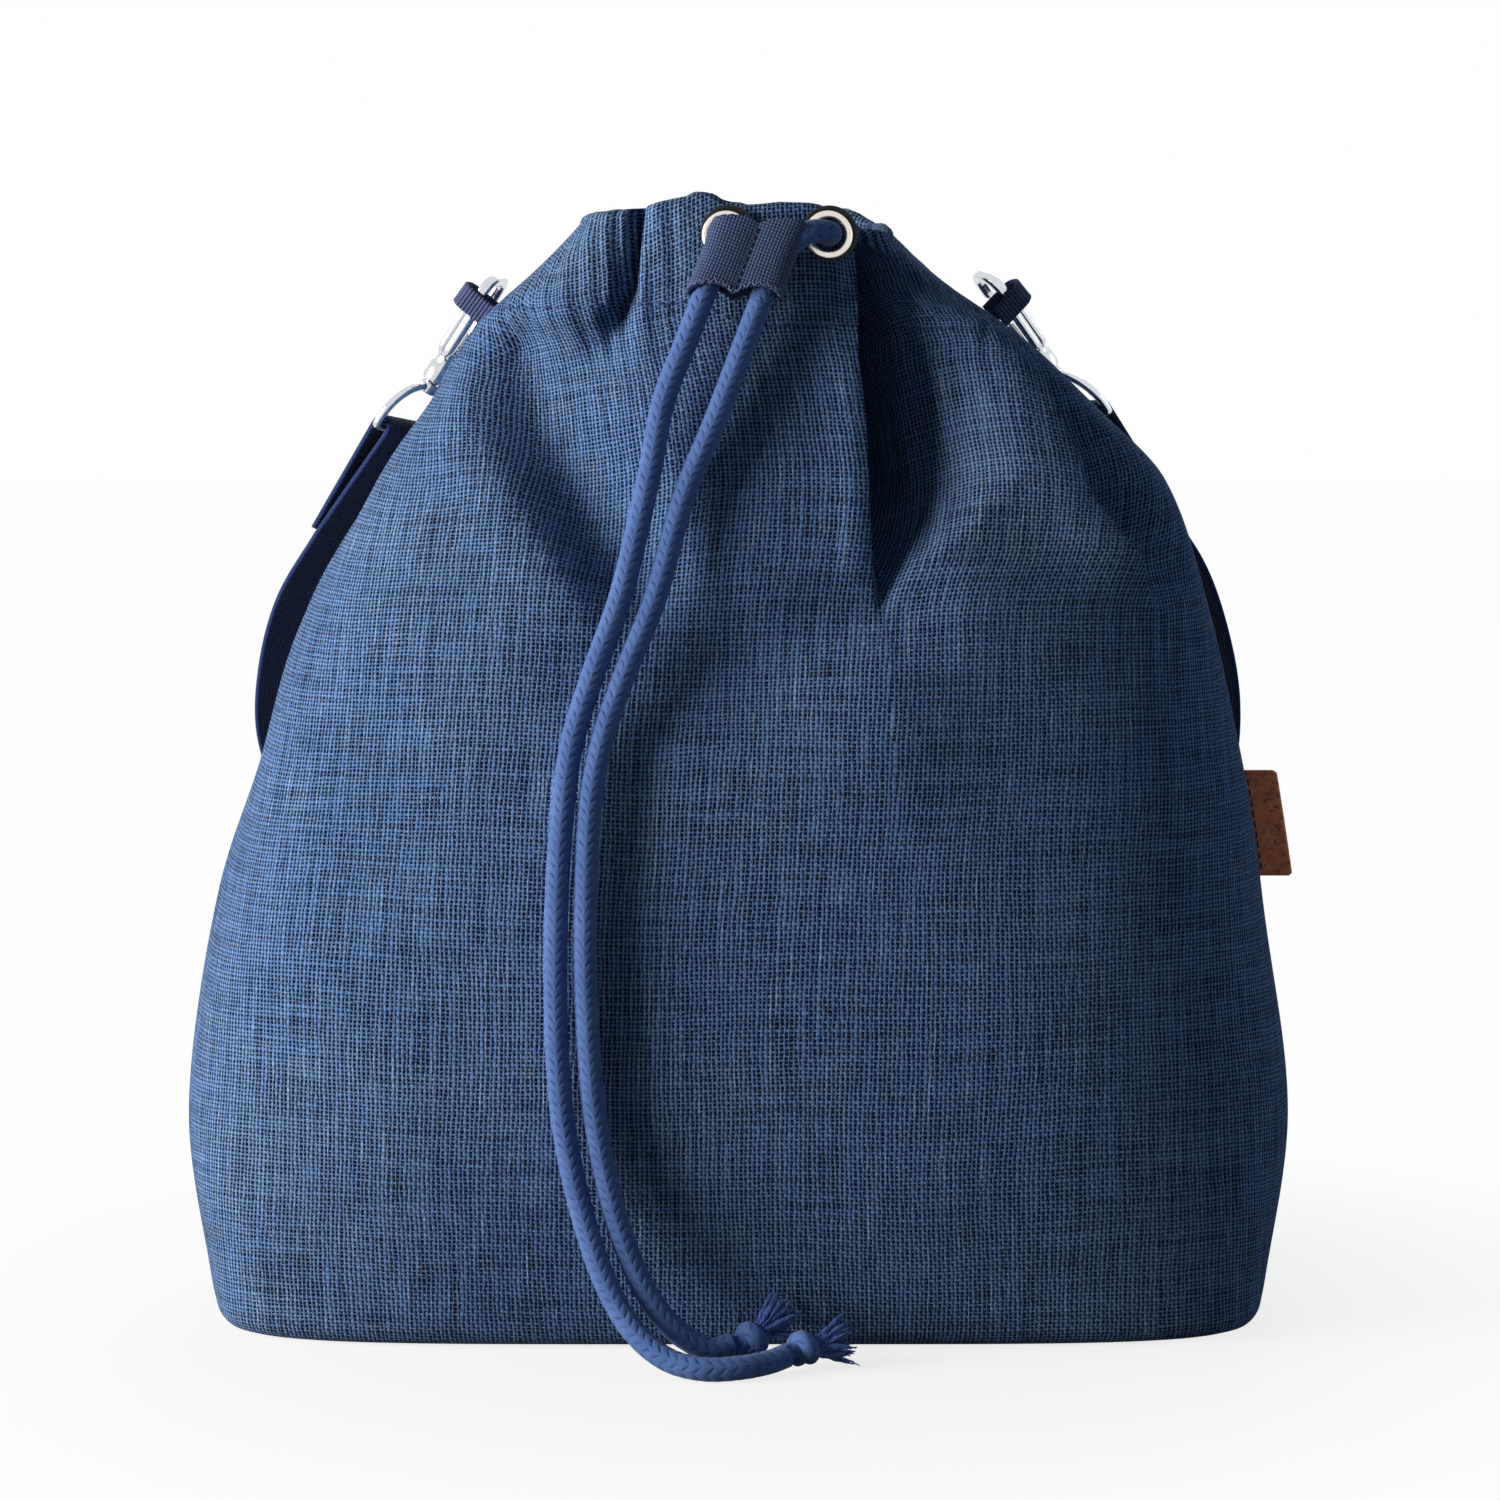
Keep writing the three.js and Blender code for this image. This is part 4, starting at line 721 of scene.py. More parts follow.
def layColumns(side, heights):  # turn, length along the section and crease places for each row
    fine = halfTurns(180 if side == "front" else 0)
    counts = frontColumns if side == "front" else backPleats["columns"]
    turns, lengths, marks = [], [], []
    for z in heights:
        x, y, _, _ = bagSection(fine, z)
        run = runAlong(np.stack([x, y], -1))
        if side == "front":
            places = [np.interp(z, [p[1] for p in line], [p[0] for p in line]) for line in creases.values()]
            stops = [float(np.interp(at, x, run)) for at in places]
        else:
            stops = [share * run[-1] for share in backPleats["share"]]
        edges = [0.0] + stops + [run[-1]]
        row = [a + (b - a) * crowd(n) for a, b, n in zip(edges[:-1], edges[1:], counts)]
        row = np.append(np.concatenate(row), run[-1])
        turns.append(np.interp(row, run, fine))
        lengths.append(row - run[-1] / 2)
        marks.append(np.array(edges) - run[-1] / 2)
    return np.array(turns), np.array(lengths), np.array(marks)


rippleForm = {"waves": 7, "longest": 110, "shortest": 45, "divide": 4.0, "seeds": {"front": 3, "back": 8}}


def ripple(u, z, seed):  # soft uneven waves, about -1 to 1
    rng = np.random.default_rng(seed)
    total = 0.0
    for _ in range(rippleForm["waves"]):
        way = rng.uniform(0, fullTurn)
        long = rng.uniform(rippleForm["shortest"], rippleForm["longest"])
        total = total + np.sin((u * math.cos(way) + z * math.sin(way)) * fullTurn / long + rng.uniform(0, 6.3))
    return total / rippleForm["divide"]


# folds of the front; rise and fall are the heights over which a fold comes and goes, near and far the
# places beside its crease line where it starts and ends
foldForm = {
    "pleat": {"depth": 21.0, "rise": (184, 216), "fall": (254, 278), "eased": 0.45, "drop": 2.2,
              "width": 4, "spread": 36, "spreadRise": (186, 226), "spreadFall": (244, 284), "spreadEased": 0.62},
    "slot": {"depth": 12.0, "rise": (198, 224), "fall": (258, 280), "eased": 0.5, "near": (0.2, 1.8), "far": (4, 15)},
    "lip": {"high": 1.6, "at": -3.5, "half": 5, "rise": (186, 206), "fall": (244, 262)},
    "tuck": {"depth": 4.0, "rise": (190, 214), "near": (0.6, 3), "far": (3, 16)},
    "groove": {"depth": 7.5, "rise": (178, 216), "slit": (238, 262), "soft": 0.12, "top": (255, 268), "below": 0.75,
               "width": 1.9, "widen": ((270, 240, 9), (240, 205, 8)), "lean": 0.4, "power": 1.6},
    "roll": {"high": 2.8, "at": -14, "half": 9, "rise": (238, 262)},
    "drape": {"heights": (180, 196, 216, 231, 247, 262), "x": (-28, -38, -51, -61, -66, -69), "depth": 11.0,
              "rise": (172, 200), "fall": (250, 268), "near": (-9, 8), "far": (8, 42),
              "crest": 1.8, "crestAt": -15, "crestHalf": 8},
    "shoulder": {"high": 7.0, "rise": (184, 204), "fall": (258, 274), "half": 17, "edge": (-1.0, 3.2), "far": (4, 30),
                 "ridge": 0.85, "behind": 0.75},
    "eyelet": {"depth": 3.0, "x": 35, "z": 282, "lean": 0.3, "half": 2.2, "rise": (264, 276)},
    "sag": {"depth": 4.2, "z": 176, "rightUp": 9, "right": (0, 40), "sway": 3, "swayLength": 23, "half": 13,
            "leftEnd": (-62, -30), "rightEnd": (36, 62), "belly": 1.4, "bellyDrop": 30, "bellyHalf": 16,
            "bellyStart": (-28, -10)},
}


def frontFolds(x, z, length, marks):
    groove, pleat, shoulder = (marks[:, k, None] for k in (1, 2, 3))
    # deep pleat: steep from its edge, then a long rise to the shoulder's ridge
    off = length - pleat
    form, slot, lip = foldForm["pleat"], foldForm["slot"], foldForm["lip"]
    deep = form["depth"] * between(z, form["rise"], form["fall"], form["eased"])
    wide = form["width"] + form["spread"] * between(z, form["spreadRise"], form["spreadFall"], form["spreadEased"])
    total = -deep * between(off, (0.0, form["drop"]), (form["drop"], wide + form["drop"]))
    deep = slot["depth"] * between(z, slot["rise"], slot["fall"], slot["eased"])
    total = total - deep * between(off, slot["near"], slot["far"])
    total = total + lip["high"] * bump(off, lip["at"], lip["half"]) * between(z, lip["rise"], lip["fall"])
    # slit left of the collar, which opens into a soft groove, and the roll of cloth beside it
    off = length - groove
    form, roll = foldForm["groove"], foldForm["roll"]
    wide = form["width"] + sum(more * smooth(-z, -high, -low) for high, low, more in form["widen"])
    strong = smooth(z, *form["rise"]) * (form["soft"] + (1 - form["soft"]) * smooth(z, *form["slit"]))
    strong = strong * (form["below"] + (1 - form["below"]) * smooth(z, *form["top"]))
    total = total - form["depth"] * strong * np.exp(-((np.abs(off - form["lean"] * wide) / wide) ** form["power"]))
    total = total + roll["high"] * bump(off, roll["at"], roll["half"]) * smooth(z, *roll["rise"])
    # fold that falls from the left shoulder to the middle, steep to the right and slow to rise again
    form = foldForm["drape"]
    off = x - np.interp(z, form["heights"], form["x"])
    reach = between(z, form["rise"], form["fall"])
    total = total - form["depth"] * reach * between(off, form["near"], form["far"])
    total = total + form["crest"] * reach * bump(off, form["crestAt"], form["crestHalf"])
    # fold of the right shoulder: a ridge, then a drop behind it
    off = length - shoulder
    form = foldForm["shoulder"]
    ridge = bump(np.minimum(off, 0), 0, form["half"]) * (1 - smooth(off, *form["edge"]))
    behind = between(off, form["edge"], form["far"])
    band = form["high"] * between(z, form["rise"], form["fall"])
    total = total + band * (form["ridge"] * ridge - form["behind"] * behind)
    # short pleat beside the right eyelet
    form = foldForm["eyelet"]
    off = x + (z - form["z"]) * form["lean"]
    total = total - form["depth"] * bump(off, form["x"], form["half"]) * smooth(z, *form["rise"])
    # cloth sags over what is inside below the collar
    form = foldForm["sag"]
    low = form["z"] + form["rightUp"] * smooth(x, *form["right"]) + form["sway"] * np.sin(x / form["swayLength"])
    middle = between(x, form["leftEnd"], form["rightEnd"])
    total = total - form["depth"] * middle * bump(z, low, form["half"])
    belly = bump(z, low - form["bellyDrop"], form["bellyHalf"]) * smooth(x, *form["bellyStart"])
    return total + form["belly"] * middle * belly


# pleats of the back are steeper on one side, by turns; a sag crosses the back below them
backForm = {
    "width": 3.0, "spread": 9, "spreadTop": 270, "steep": 0.55, "slack": 1.25, "rise": 44, "fall": (262, 290),
    "eased": 0.35, "power": 1.7, "crest": 0.3, "crestAt": 1.6,
    "sag": 3.2, "sagZ": 172, "sagSway": 5, "swayLength": 30, "sagHalf": 15, "sagEnd": (60, 110),
}


def backFolds(z, length, marks):
    form = backForm
    total = np.zeros_like(length)
    for k, (depth, low) in enumerate(zip(backPleats["depth"], backPleats["low"])):
        off = length - marks[:, k + 1, None]
        wide = form["width"] + form["spread"] * smooth(-z, -form["spreadTop"], -low)
        left, right = (form["steep"], form["slack"]) if k % 2 else (form["slack"], form["steep"])
        fade = between(z, (low, low + form["rise"]), form["fall"], form["eased"])
        total = total - depth * fade * np.exp(-np.abs(off / (wide * np.where(off < 0, left, right))) ** form["power"])
        total = total + form["crest"] * depth * fade * bump(np.abs(off), form["crestAt"] * wide, wide)
    sagZ = form["sagZ"] + form["sagSway"] * np.sin(length / form["swayLength"])
    return total - form["sag"] * bump(z, sagZ, form["sagHalf"]) * (1 - smooth(np.abs(length), *form["sagEnd"]))


rims = {  # height of the rim against the level, by share from seam to seam
    "front": ((0, -4.5), (0.1, -4), (0.2, -3.4), (0.27, -2.6), (0.34, -0.6), (0.41, 0.8), (0.425, 4.4), (0.44, 0.2),
              (0.5, -1.6), (0.545, -2.2), (0.57, -1.1), (0.68, -1.4), (0.725, -3.4), (0.76, -6.6), (0.83, -7.4),
              (0.9, -8.4), (1, -9)),
    "back": ((0, -9), (0.08, -6), (0.15, -6.5), (0.24, -1.5), (0.31, -4), (0.37, -0.5), (0.44, -3.6), (0.5, 0.4),
             (0.58, -3.2), (0.65, -0.8), (0.72, -4.4), (0.8, -1.8), (0.87, -5.4), (1, -4.5)),
}
clothForm = {
    "seam": 0.9, "seamHalf": 1.5, "foldsFromSeam": (6, 26), "ripple": 0.75, "rippleRise": (6, 40),
    "gather": 0.75, "gatherRise": (240, 262), "gatherFromSeam": (3, 16), "rimRise": (248, 290), "rimSoft": 7,
    "cordX": -22, "cordZ": 150, "cordLean": 0.16, "cordClear": (30, 60), "pressed": 0.25,  # calm under the cords
    "collarX": 9, "collarClear": (20, 27),  # no gathers between the eyelets
}


def wall(side, heights, insets=0.0, rise=0.0):  # the folded cloth, a distance inside its outer face
    form = clothForm
    heights = np.asarray(heights, float)
    perRow = [np.broadcast_to(np.asarray(v, float), (len(heights),))[:, None] for v in (insets, rise)]
    turns, lengths, marks = layColumns(side, np.clip(heights, 0, bagHeight))
    z = np.tile(heights[:, None], (1, turns.shape[1]))
    x, y, outX, outY = bagSection(turns, np.clip(z, 0, bagHeight))
    half = marks[:, -1, None]
    fromSeam = half - np.abs(lengths)
    folds = frontFolds(x, z, lengths, marks) if side == "front" else backFolds(z, lengths, marks)
    folds = folds * smooth(fromSeam, *form["foldsFromSeam"]) - form["seam"] * bump(fromSeam, 0, form["seamHalf"])
    calm = quiet = 1.0
    if side == "front":
        calm = smooth(np.abs(x - form["cordX"] - (z - form["cordZ"]) * form["cordLean"]), *form["cordClear"])
        quiet = smooth(np.abs(x - form["collarX"]), *form["collarClear"])
    waves = ripple(lengths, z, rippleForm["seeds"][side]) * calm - form["pressed"] * (1 - calm)
    folds = folds + form["ripple"] * waves * smooth(z, *form["rippleRise"])
    gather = np.sin(lengths * 0.83 + 1.7 * np.sin(lengths * 0.21)) * np.sin(lengths * 0.37 + 1)  # uneven waves
    gather = gather * quiet * smooth(z, *form["gatherRise"]) * smooth(fromSeam, *form["gatherFromSeam"])
    out = folds + form["gather"] * gather - perRow[0]
    x = x + outX * out
    y = y + outY * out
    if side == "front":  # the deep pleat runs in behind its own edge
        tuck = foldForm["tuck"]
        off = lengths - marks[:, 2, None]
        back = tuck["depth"] * smooth(z, *tuck["rise"]) * between(off, tuck["near"], tuck["far"])
        x, y = x + outY * back, y - outX * back
    shares, lifts = zip(*rims[side])
    lift = np.interp(0.5 + lengths[-1] / (2 * half[-1]), shares, lifts)
    z = z + softened(lift, form["rimSoft"]) * smooth(z, *form["rimRise"]) + perRow[1]
    return np.stack([x, y, z], -1), lengths


pleatWeave = {"before": 30, "turn": 2.6}  # columns before the pleat's edge, and where its far wall takes over


def laidFlat(points, lengths, pleated=False):  # cloth coordinates: along the section, and up each column
    up = np.linalg.norm(np.diff(points, axis=0), axis=2)
    up = np.vstack([np.zeros(up.shape[1]), np.cumsum(up, axis=0)])
    across = lengths
    if pleated:  # the weave follows the cloth down both walls of the deep pleat
        run = np.linalg.norm(np.diff(points, axis=1), axis=2)
        run = np.hstack([np.zeros((len(run), 1)), np.cumsum(run, axis=1)])
        edge, end = sum(frontColumns[:2]), sum(frontColumns[:3])
        start = edge - pleatWeave["before"]
        column = np.arange(lengths.shape[1])[None]
        leftWall = lengths[:, [start]] + run - run[:, [start]]
        rightWall = lengths[:, [end]] + run - run[:, [end]]
        nearEdge = (column <= edge) | (lengths - lengths[:, [edge]] < pleatWeave["turn"])
        across = np.where(nearEdge, leftWall, rightWall)
        across = np.where((column < start) | (column > end), lengths, across)
    return np.stack([across, up], -1)


print("bag form ready")


# drawcord tails: free cords, the same routes as the solids
sliderFoot = np.array([-1.5, -39.62, 266.5])
cordUp = unit([0.35032, 0.2107, 0.91262])
sliderAcross = unit(np.array([1, 0, 0]) - cordUp * cordUp[0])
sliderBack = np.cross(cordUp, sliderAcross)
channelHalf = 7.0


def channelPoint(side, up):
    return sliderFoot + sliderAcross * side * channelHalf + cordUp * up


tails = {
    "left": {
        "sign": -1, "knot": (15.6, -85.6, 5.2), "tip": (28, -80, 6), "strands": 34,
        "route": (
            (-22.9, -51.8, 221), (-29.9, -60.2, 191), (-37.2, -65.6, 170.5), (-42.2, -69.6, 153.3),
            (-44.9, -74.2, 128.8), (-45.8, -76.8, 104), (-45.5, -78.4, 79), (-43.7, -79.2, 59),
            (-39.4, -81, 39), (-33.4, -85.2, 22), (-26.4, -90.4, 11), (-18, -95.4, 5),
            (-9, -98.2, 3.2), (0, -96.8, 3.2), (7.6, -92, 3.6),
        ),
    },
    "right": {
        "sign": 1, "knot": (2.8, -78.6, 6), "tip": (12, -73.8, 12.6), "strands": 34,
        "route": (
            (-14.2, -52.6, 215.5), (-21.5, -60.4, 190), (-29.4, -65.6, 170.5), (-34.6, -69.4, 155),
            (-37.3, -72.6, 140), (-38.4, -76, 116.5), (-38.2, -78.2, 91.6), (-36.5, -79.2, 66.5),
            (-33.2, -80, 46.5), (-28.8, -81, 31), (-22.8, -82.6, 18), (-15.4, -83.8, 9),
            (-7.4, -82.8, 4.6),
        ),
    },
}
tailForm = {"channel": (-0.2, -16, -32), "step": 0.42, "pathEvery": 4}
knotForm = {
    "wrap": 2.2, "cord": 5.2, "turns": 1.35, "firstTurn": 0.4, "long": 4.16, "slim": 0.72, "tail": 5.3,
    "before": 5.2, "after": 4.6, "step": 0.28, "coreStep": 0.3,
}


def crosswise(axis):  # two level-ish directions across an axis
    across = unit(np.cross(axis, [0, 0, 1]))
    return across, np.cross(axis, across)


def tieKnot(side, look):  # the cord wound once round itself and drawn tight
    form = knotForm
    knot = np.array(look["knot"], float)
    along = unit(unit(knot - np.array(look["route"][-1])) + unit(np.array(look["tip"]) - knot))
    across, other = crosswise(along)
    t = np.linspace(0, 1, 110)
    turn = fullTurn * form["turns"] * t + form["firstTurn"]
    lift = form["wrap"] * np.sin(math.pi * np.clip(t, 0.03, 0.97)) ** 0.3
    wrap = knot + along * ((t - 0.5) * form["long"])[:, None]
    wrap = wrap + across * (np.cos(turn) * lift)[:, None] + other * (np.sin(turn) * lift)[:, None]
    mould = Mould()
    wrap, run = evenly(wrap, form["step"])
    slim = form["slim"] + (1 - form["slim"]) * np.sin(math.pi * np.linspace(0, 1, len(wrap))) ** 0.5
    braid(mould, wrap, run, form["cord"], across, slim)
    core, run = evenly([knot - along * form["before"], knot, knot + along * form["after"]], form["coreStep"])
    braid(mould, core, run, form["cord"], across)
    return mould.piece(f"knot_{side}", "cord", "bag", "braided_cord", [f"tail_knot_{side}"])


tasselForm = {
    "bundles": 0.45, "spin": 2.4, "spinPlay": 0.3, "start": 3.6, "ring": 2.0, "spread": 3.6, "bow": 0.8,
    "bundleLong": (6.2, 8.6), "threadLong": (5.0, 8.5), "bundleThick": (0.7, 0.95), "threadThick": 0.26,
    "swell": 0.16, "swellPitch": 1.9, "taper": 0.45, "floor": 0.15,
    "hairs": 5, "hairWay": 0.35, "hairSunk": 0.6, "hairLong": (1.2, 2.4), "hairPlay": 0.25, "hairThick": 0.17,
    "hairFloor": 0.3,
}


def frayedTip(side, look):  # thick unlaid strands with a few loose threads between them
    form = tasselForm
    mould = Mould()
    knot = np.array(look["knot"], float)
    axis = unit(np.array(look["tip"], float) - knot)
    across, other = crosswise(axis)
    bundles = look["strands"] * form["bundles"]
    for k in range(look["strands"]):
        bundle = k < bundles
        spin = form["spin"] * k + dice.uniform(-form["spinPlay"], form["spinPlay"])
        ring = math.sqrt((k + 0.5) / bundles) if bundle else dice.uniform(0.4, 1)
        out = across * math.cos(spin) + other * math.sin(spin)
        length = dice.uniform(*form["bundleLong" if bundle else "threadLong"])
        start = knot + axis * form["start"] + out * form["ring"] * ring
        bow = dice.normal(0, form["bow"], 3)
        t = np.linspace(0, 1, 14)[:, None]
        route = start + axis * length * t + out * (ring * form["spread"] * t**1.2) + bow * t**2
        thick = dice.uniform(*form["bundleThick"]) if bundle else form["threadThick"]
        swell = 1 + form["swell"] * np.sin(t[:, 0] * length * form["swellPitch"] + k)
        taper = thick * swell * (1 - form["taper"] * smooth(t[:, 0], 0.75, 1))
        route[:, 2] = np.maximum(route[:, 2], thick + form["floor"])
        tube(mould, route, t[:, 0] * length, taper, 9, across)
        for _ in range(form["hairs"] if bundle else 0):  # each strand ends in a brush of short hairs
            hair = np.linspace(0, 1, 5)[:, None]
            way = unit(route[-1] - route[-3] + dice.normal(0, form["hairWay"], 3))
            fine = route[-1] - way * form["hairSunk"] + way * hair * dice.uniform(*form["hairLong"])
            fine = fine + dice.normal(0, form["hairPlay"], 3)
            fine[:, 2] = np.maximum(fine[:, 2], form["hairFloor"])
            tube(mould, fine, hair[:, 0] * 2, form["hairThick"], 5, across)
    return mould.piece(f"tassel_{side}", "strand", "bag", "braided_cord", [f"tail_tassel_{side}"])


for side, look in tails.items():
    knotPlace = np.array(look["knot"], float)
    intoKnot = unit(knotPlace - np.array(look["route"][-1]))
    places = [channelPoint(look["sign"], up) for up in tailForm["channel"]]
    places += [np.array(p, float) for p in look["route"]] + [knotPlace - intoKnot * knotForm["tail"]]
    route, run = smoothRoute(places, tailForm["step"])
    mould = Mould()
    braid(mould, route, run, cordDiameter, sliderAcross)
    tail = mould.piece(f"drawcord_{side}", "cord", "bag", "braided_cord", [f"drawcord_tail_{side}"])
    knotPiece = tieKnot(side, look)
    tasselPiece = frayedTip(side, look)
    cordDiameter * mm
    print(f"drawcord {side}: {run[-1]:.0f} mm")


# outer cloth, hem, lining and base
clothRows = np.concatenate([
    np.linspace(0, 10, 12, endpoint=False), np.linspace(10, 180, 84, endpoint=False),
    np.linspace(180, 262, 74, endpoint=False), np.linspace(262, 288.6, 30),
])
# the foot turns under over a small round, and the mouth's edge is the cloth rolled over
edgeForm = {"footIn": 4.0, "footHigh": 4.5, "innerFloor": 0.9, "roll": 2.4, "rollTurns": range(20, 181, 20)}


def clothSkin(side, inset):
    footIn = edgeForm["footIn"] * (1 - roundEnd(clothRows, edgeForm["footHigh"]))
    rows = [(z, inset + foot, 0.0) for z, foot in zip(clothRows, footIn)]
    roll, top = edgeForm["roll"], clothRows[-1]
    radius = roll - inset
    turns = np.radians(edgeForm["rollTurns"])
    rows += [(top, roll - radius * math.cos(a), radius * math.sin(a)) for a in turns]
    return wall(side, *zip(*rows))


def sewPanel(side):
    outer, lengths = clothSkin(side, 0.0)
    inner, _ = clothSkin(side, bagForm["cloth"])
    inner[:, :, 2] = np.maximum(inner[:, :, 2], edgeForm["innerFloor"])
    mould = Mould()
    mould.shell(outer, inner, laidFlat(outer, lengths, side == "front"))
    return mould.piece(f"bag_{side}", "linen", "bag", "woven_cloth", [f"{side}_panel"])


panels = {side: sewPanel(side) for side in ("front", "back")}
print("outer cloth sewn")

hemForm = {"top": 287.6, "rows": 22, "from": 288.4, "inset": 4.6, "belly": 7.4, "back": 2.2, "cloth": 0.9}


def sewHem(side):
    form = hemForm
    rows = np.linspace(form["top"], bagForm["hemLow"], form["rows"])
    down = (form["from"] - rows) / (form["from"] - bagForm["hemLow"])
    inset = form["inset"] + form["belly"] * np.sin(math.pi * np.clip(down, 0, 1)) ** 0.7 - form["back"] * down
    outer, inner = (wall(side, rows[::-1], inset[::-1] + extra) for extra in (0.0, form["cloth"]))
    points, lengths = (part[:, ::2] for part in inner)
    mould = Mould()
    mould.shell(points, outer[0][:, ::2], laidFlat(points, lengths))
    return mould.piece(f"mouth_hem_{side}_turned", "linen", "bag", "woven_cloth", [f"mouth_hem_{side}"])


hems = {side: sewHem(side) for side in ("front", "back")}

liningForm = {"insets": (2.0, 2.7), "foot": 2.4, "bend": 20, "top": 266, "footRows": 5, "rows": 62, "every": 3}


def sewLining():
    form = liningForm
    every = slice(None, -1, form["every"])
    low = np.linspace(form["foot"], form["bend"], form["footRows"], endpoint=False)
    rows = np.concatenate([low, np.linspace(form["bend"], form["top"], form["rows"])])
    skins = []
    for inset in form["insets"]:
        front, lengths = wall("front", rows, inset)
        back, lengthsBack = wall("back", rows, inset)
        skins.append(np.concatenate([front[:, every], back[:, every]], 1))
    lengths = np.concatenate([lengths[:, every], lengths[:, -1:] * 2 + lengthsBack[:, every]], 1)
    lengths = np.concatenate([lengths, lengths[:, -1:] + 2], 1)
    flat = np.stack([lengths, np.tile(rows[:, None], (1, lengths.shape[1]))], -1)
    mould = Mould()
    a = mould.grid(skins[0], flat, wrapAcross=True)
    b = mould.grid(skins[1], flat, wrapAcross=True, flip=True)
    mould.strip(*(np.append(skin[-1], skin[-1][0]) for skin in (a, b)), flat[-1])
    mould.cap(a[0][::-1])
    mould.cap(b[0])
    return mould.piece("lining_bag", "lining", "bag", "lining_cloth", ["lining"])


lining = sewLining()

baseForm = {  # rings as a share of the outline and a height, from the middle below to the middle above
    "inset": 4.6, "every": 4,
    "rings": ((0.02, 0.2), (0.3, 0.25), (0.6, 0.2), (0.9, 0.15), (1, 0.3), (1, 1.1), (0.9, 1.5), (0.02, 1.5)),
}


def sewBase():
    edges = [wall(side, [0.0], baseForm["inset"])[0][0, :-1:baseForm["every"]] for side in ("front", "back")]
    outline = np.concatenate(edges) * np.array([1, 1, 0])
    rings = np.array([outline * share + np.array([0, 0, z]) for share, z in baseForm["rings"]])
    flat = np.concatenate([rings, rings[:, :1]], 1)[..., :2]
    mould = Mould()
    mould.capEnds(mould.grid(rings, flat, wrapAcross=True))
    return mould.piece("bag_base", "linen", "bag", "woven_cloth", ["base_panel"])


base = sewBase()

# the front row of stitches drops towards the right, as the collar does
hemSeamForm = {"rows": (258, 263, 264, 265), "drop": 5.0, "dropX": (-16, 6), "length": 2.0, "gap": 1.0, "thread": 0.3}


def sewHemSeam(side):  # row of stitches that holds the turned hem
    form = hemSeamForm
    mould = Mould()
    points, _ = wall(side, form["rows"])
    lowest, below, line, above = points
    if side == "front":
        drop = form["drop"] * smooth(line[:, [0]], *form["dropX"]) / (form["rows"][2] - form["rows"][0])
        line = line * (1 - drop) + lowest * drop
    ups = unit(np.cross(np.gradient(line, axis=0), above - below))
    stitches(mould, line, ups, form["length"], form["gap"], form["thread"])
    mould.piece(f"hem_stitches_{side}", "thread", "bag", "woven_cloth")


for side in ("front", "back"):
    sewHemSeam(side)
print("hem, lining and base sewn")

# profile heights are over the seat, towards the viewer; the gasket is a dark ring of painted shade, shifted up and to
# the right so that it shows as the shadow crescent round each eyelet
eyeletForm = {
    "left": -3.6, "right": 22.2, "height": 281.0, "seatRise": 0.5, "sides": 64,
    "outer": 6.25, "hole": 4.25, "wall": 0.6, "rim": 0.75, "rimHigh": 1.6, "barrel": -3.0,
    "gasket": 7.2, "shadeRingPlay": 0.65, "gasketRim": 0.3, "shift": 0.62,
    "washerIn": 1.3, "washerOut": 0.4, "washerRim": 0.38, "washerHigh": -2.7, "washerSides": 48,
}


def arcProfile(centre, radius, first, last, steps):
    turns = np.radians(np.linspace(first, last, steps))
    return [(centre[0] + radius * math.cos(a), centre[1] + radius * math.sin(a)) for a in turns]


def setEyelet(side):
    form = eyeletForm
    toRight = np.array([1, 0, 0])
    facing = frontFacing(form[side], form["height"])
    seat = np.array([form[side], float(frontY(form[side], form["height"])), form["height"]])
    seat = seat + facing * form["seatRise"]
    outer, hole, rim, high = (form[key] for key in ("outer", "hole", "rim", "rimHigh"))
    sleeve = hole + form["wall"]
    crown = [(outer - 0.25, 1.2), (outer, 1.45)]
    crown += arcProfile((outer - rim, high), rim, 0, 90, 6) + arcProfile((hole + rim, high), rim, 90, 180, 6)
    crown += [(hole, 1.0), (hole, form["barrel"]), (sleeve, form["barrel"]), (sleeve, 1.15)]
    mould = Mould()
    lathe(mould, crown[::-1], seat, facing, toRight, form["sides"], closed=True)
    mould.piece(f"eyelet_ring_{side}", "nickel", "bag", "nickel", [f"eyelet_{side}"])
    # dark ring round the eyelet, shifted up and to the right: painted shade, the shadow crescent round the eyelet
    inner, outside, rim = sleeve + form["shadeRingPlay"], form["gasket"], form["gasketRim"]
    edge = arcProfile((outside - rim, 0.62), rim, -60, 90, 5)
    ring = [(inner, 0.3), (outside - 0.2, 0.25)] + edge + [(inner, 0.92)]
    level = unit(toRight - facing * facing[0])
    mould = Mould()
    shadeCentre = seat + (level + np.cross(facing, level)) * form["shift"]
    lathe(mould, ring, shadeCentre, facing, toRight, form["sides"], closed=True)
    mould.piece(f"gasket_{side}", "rubber", "bag", "black_rubber", [f"eyelet_gasket_{side}"])
    rim, high = form["washerRim"], form["washerHigh"]
    ring = arcProfile((outer - form["washerOut"], high), rim, -90, 90, 6)
    ring += arcProfile((hole + form["washerIn"], high), rim, 90, 270, 6)
    mould = Mould()
    lathe(mould, ring, seat, facing, toRight, form["washerSides"], closed=True)
    mould.piece(f"washer_{side}", "nickel", "bag", "nickel", [f"eyelet_washer_{side}"])
    return seat, facing


eyeletSeats = {side: setEyelet(side) for side in ("left", "right")}
print("eyelets set")

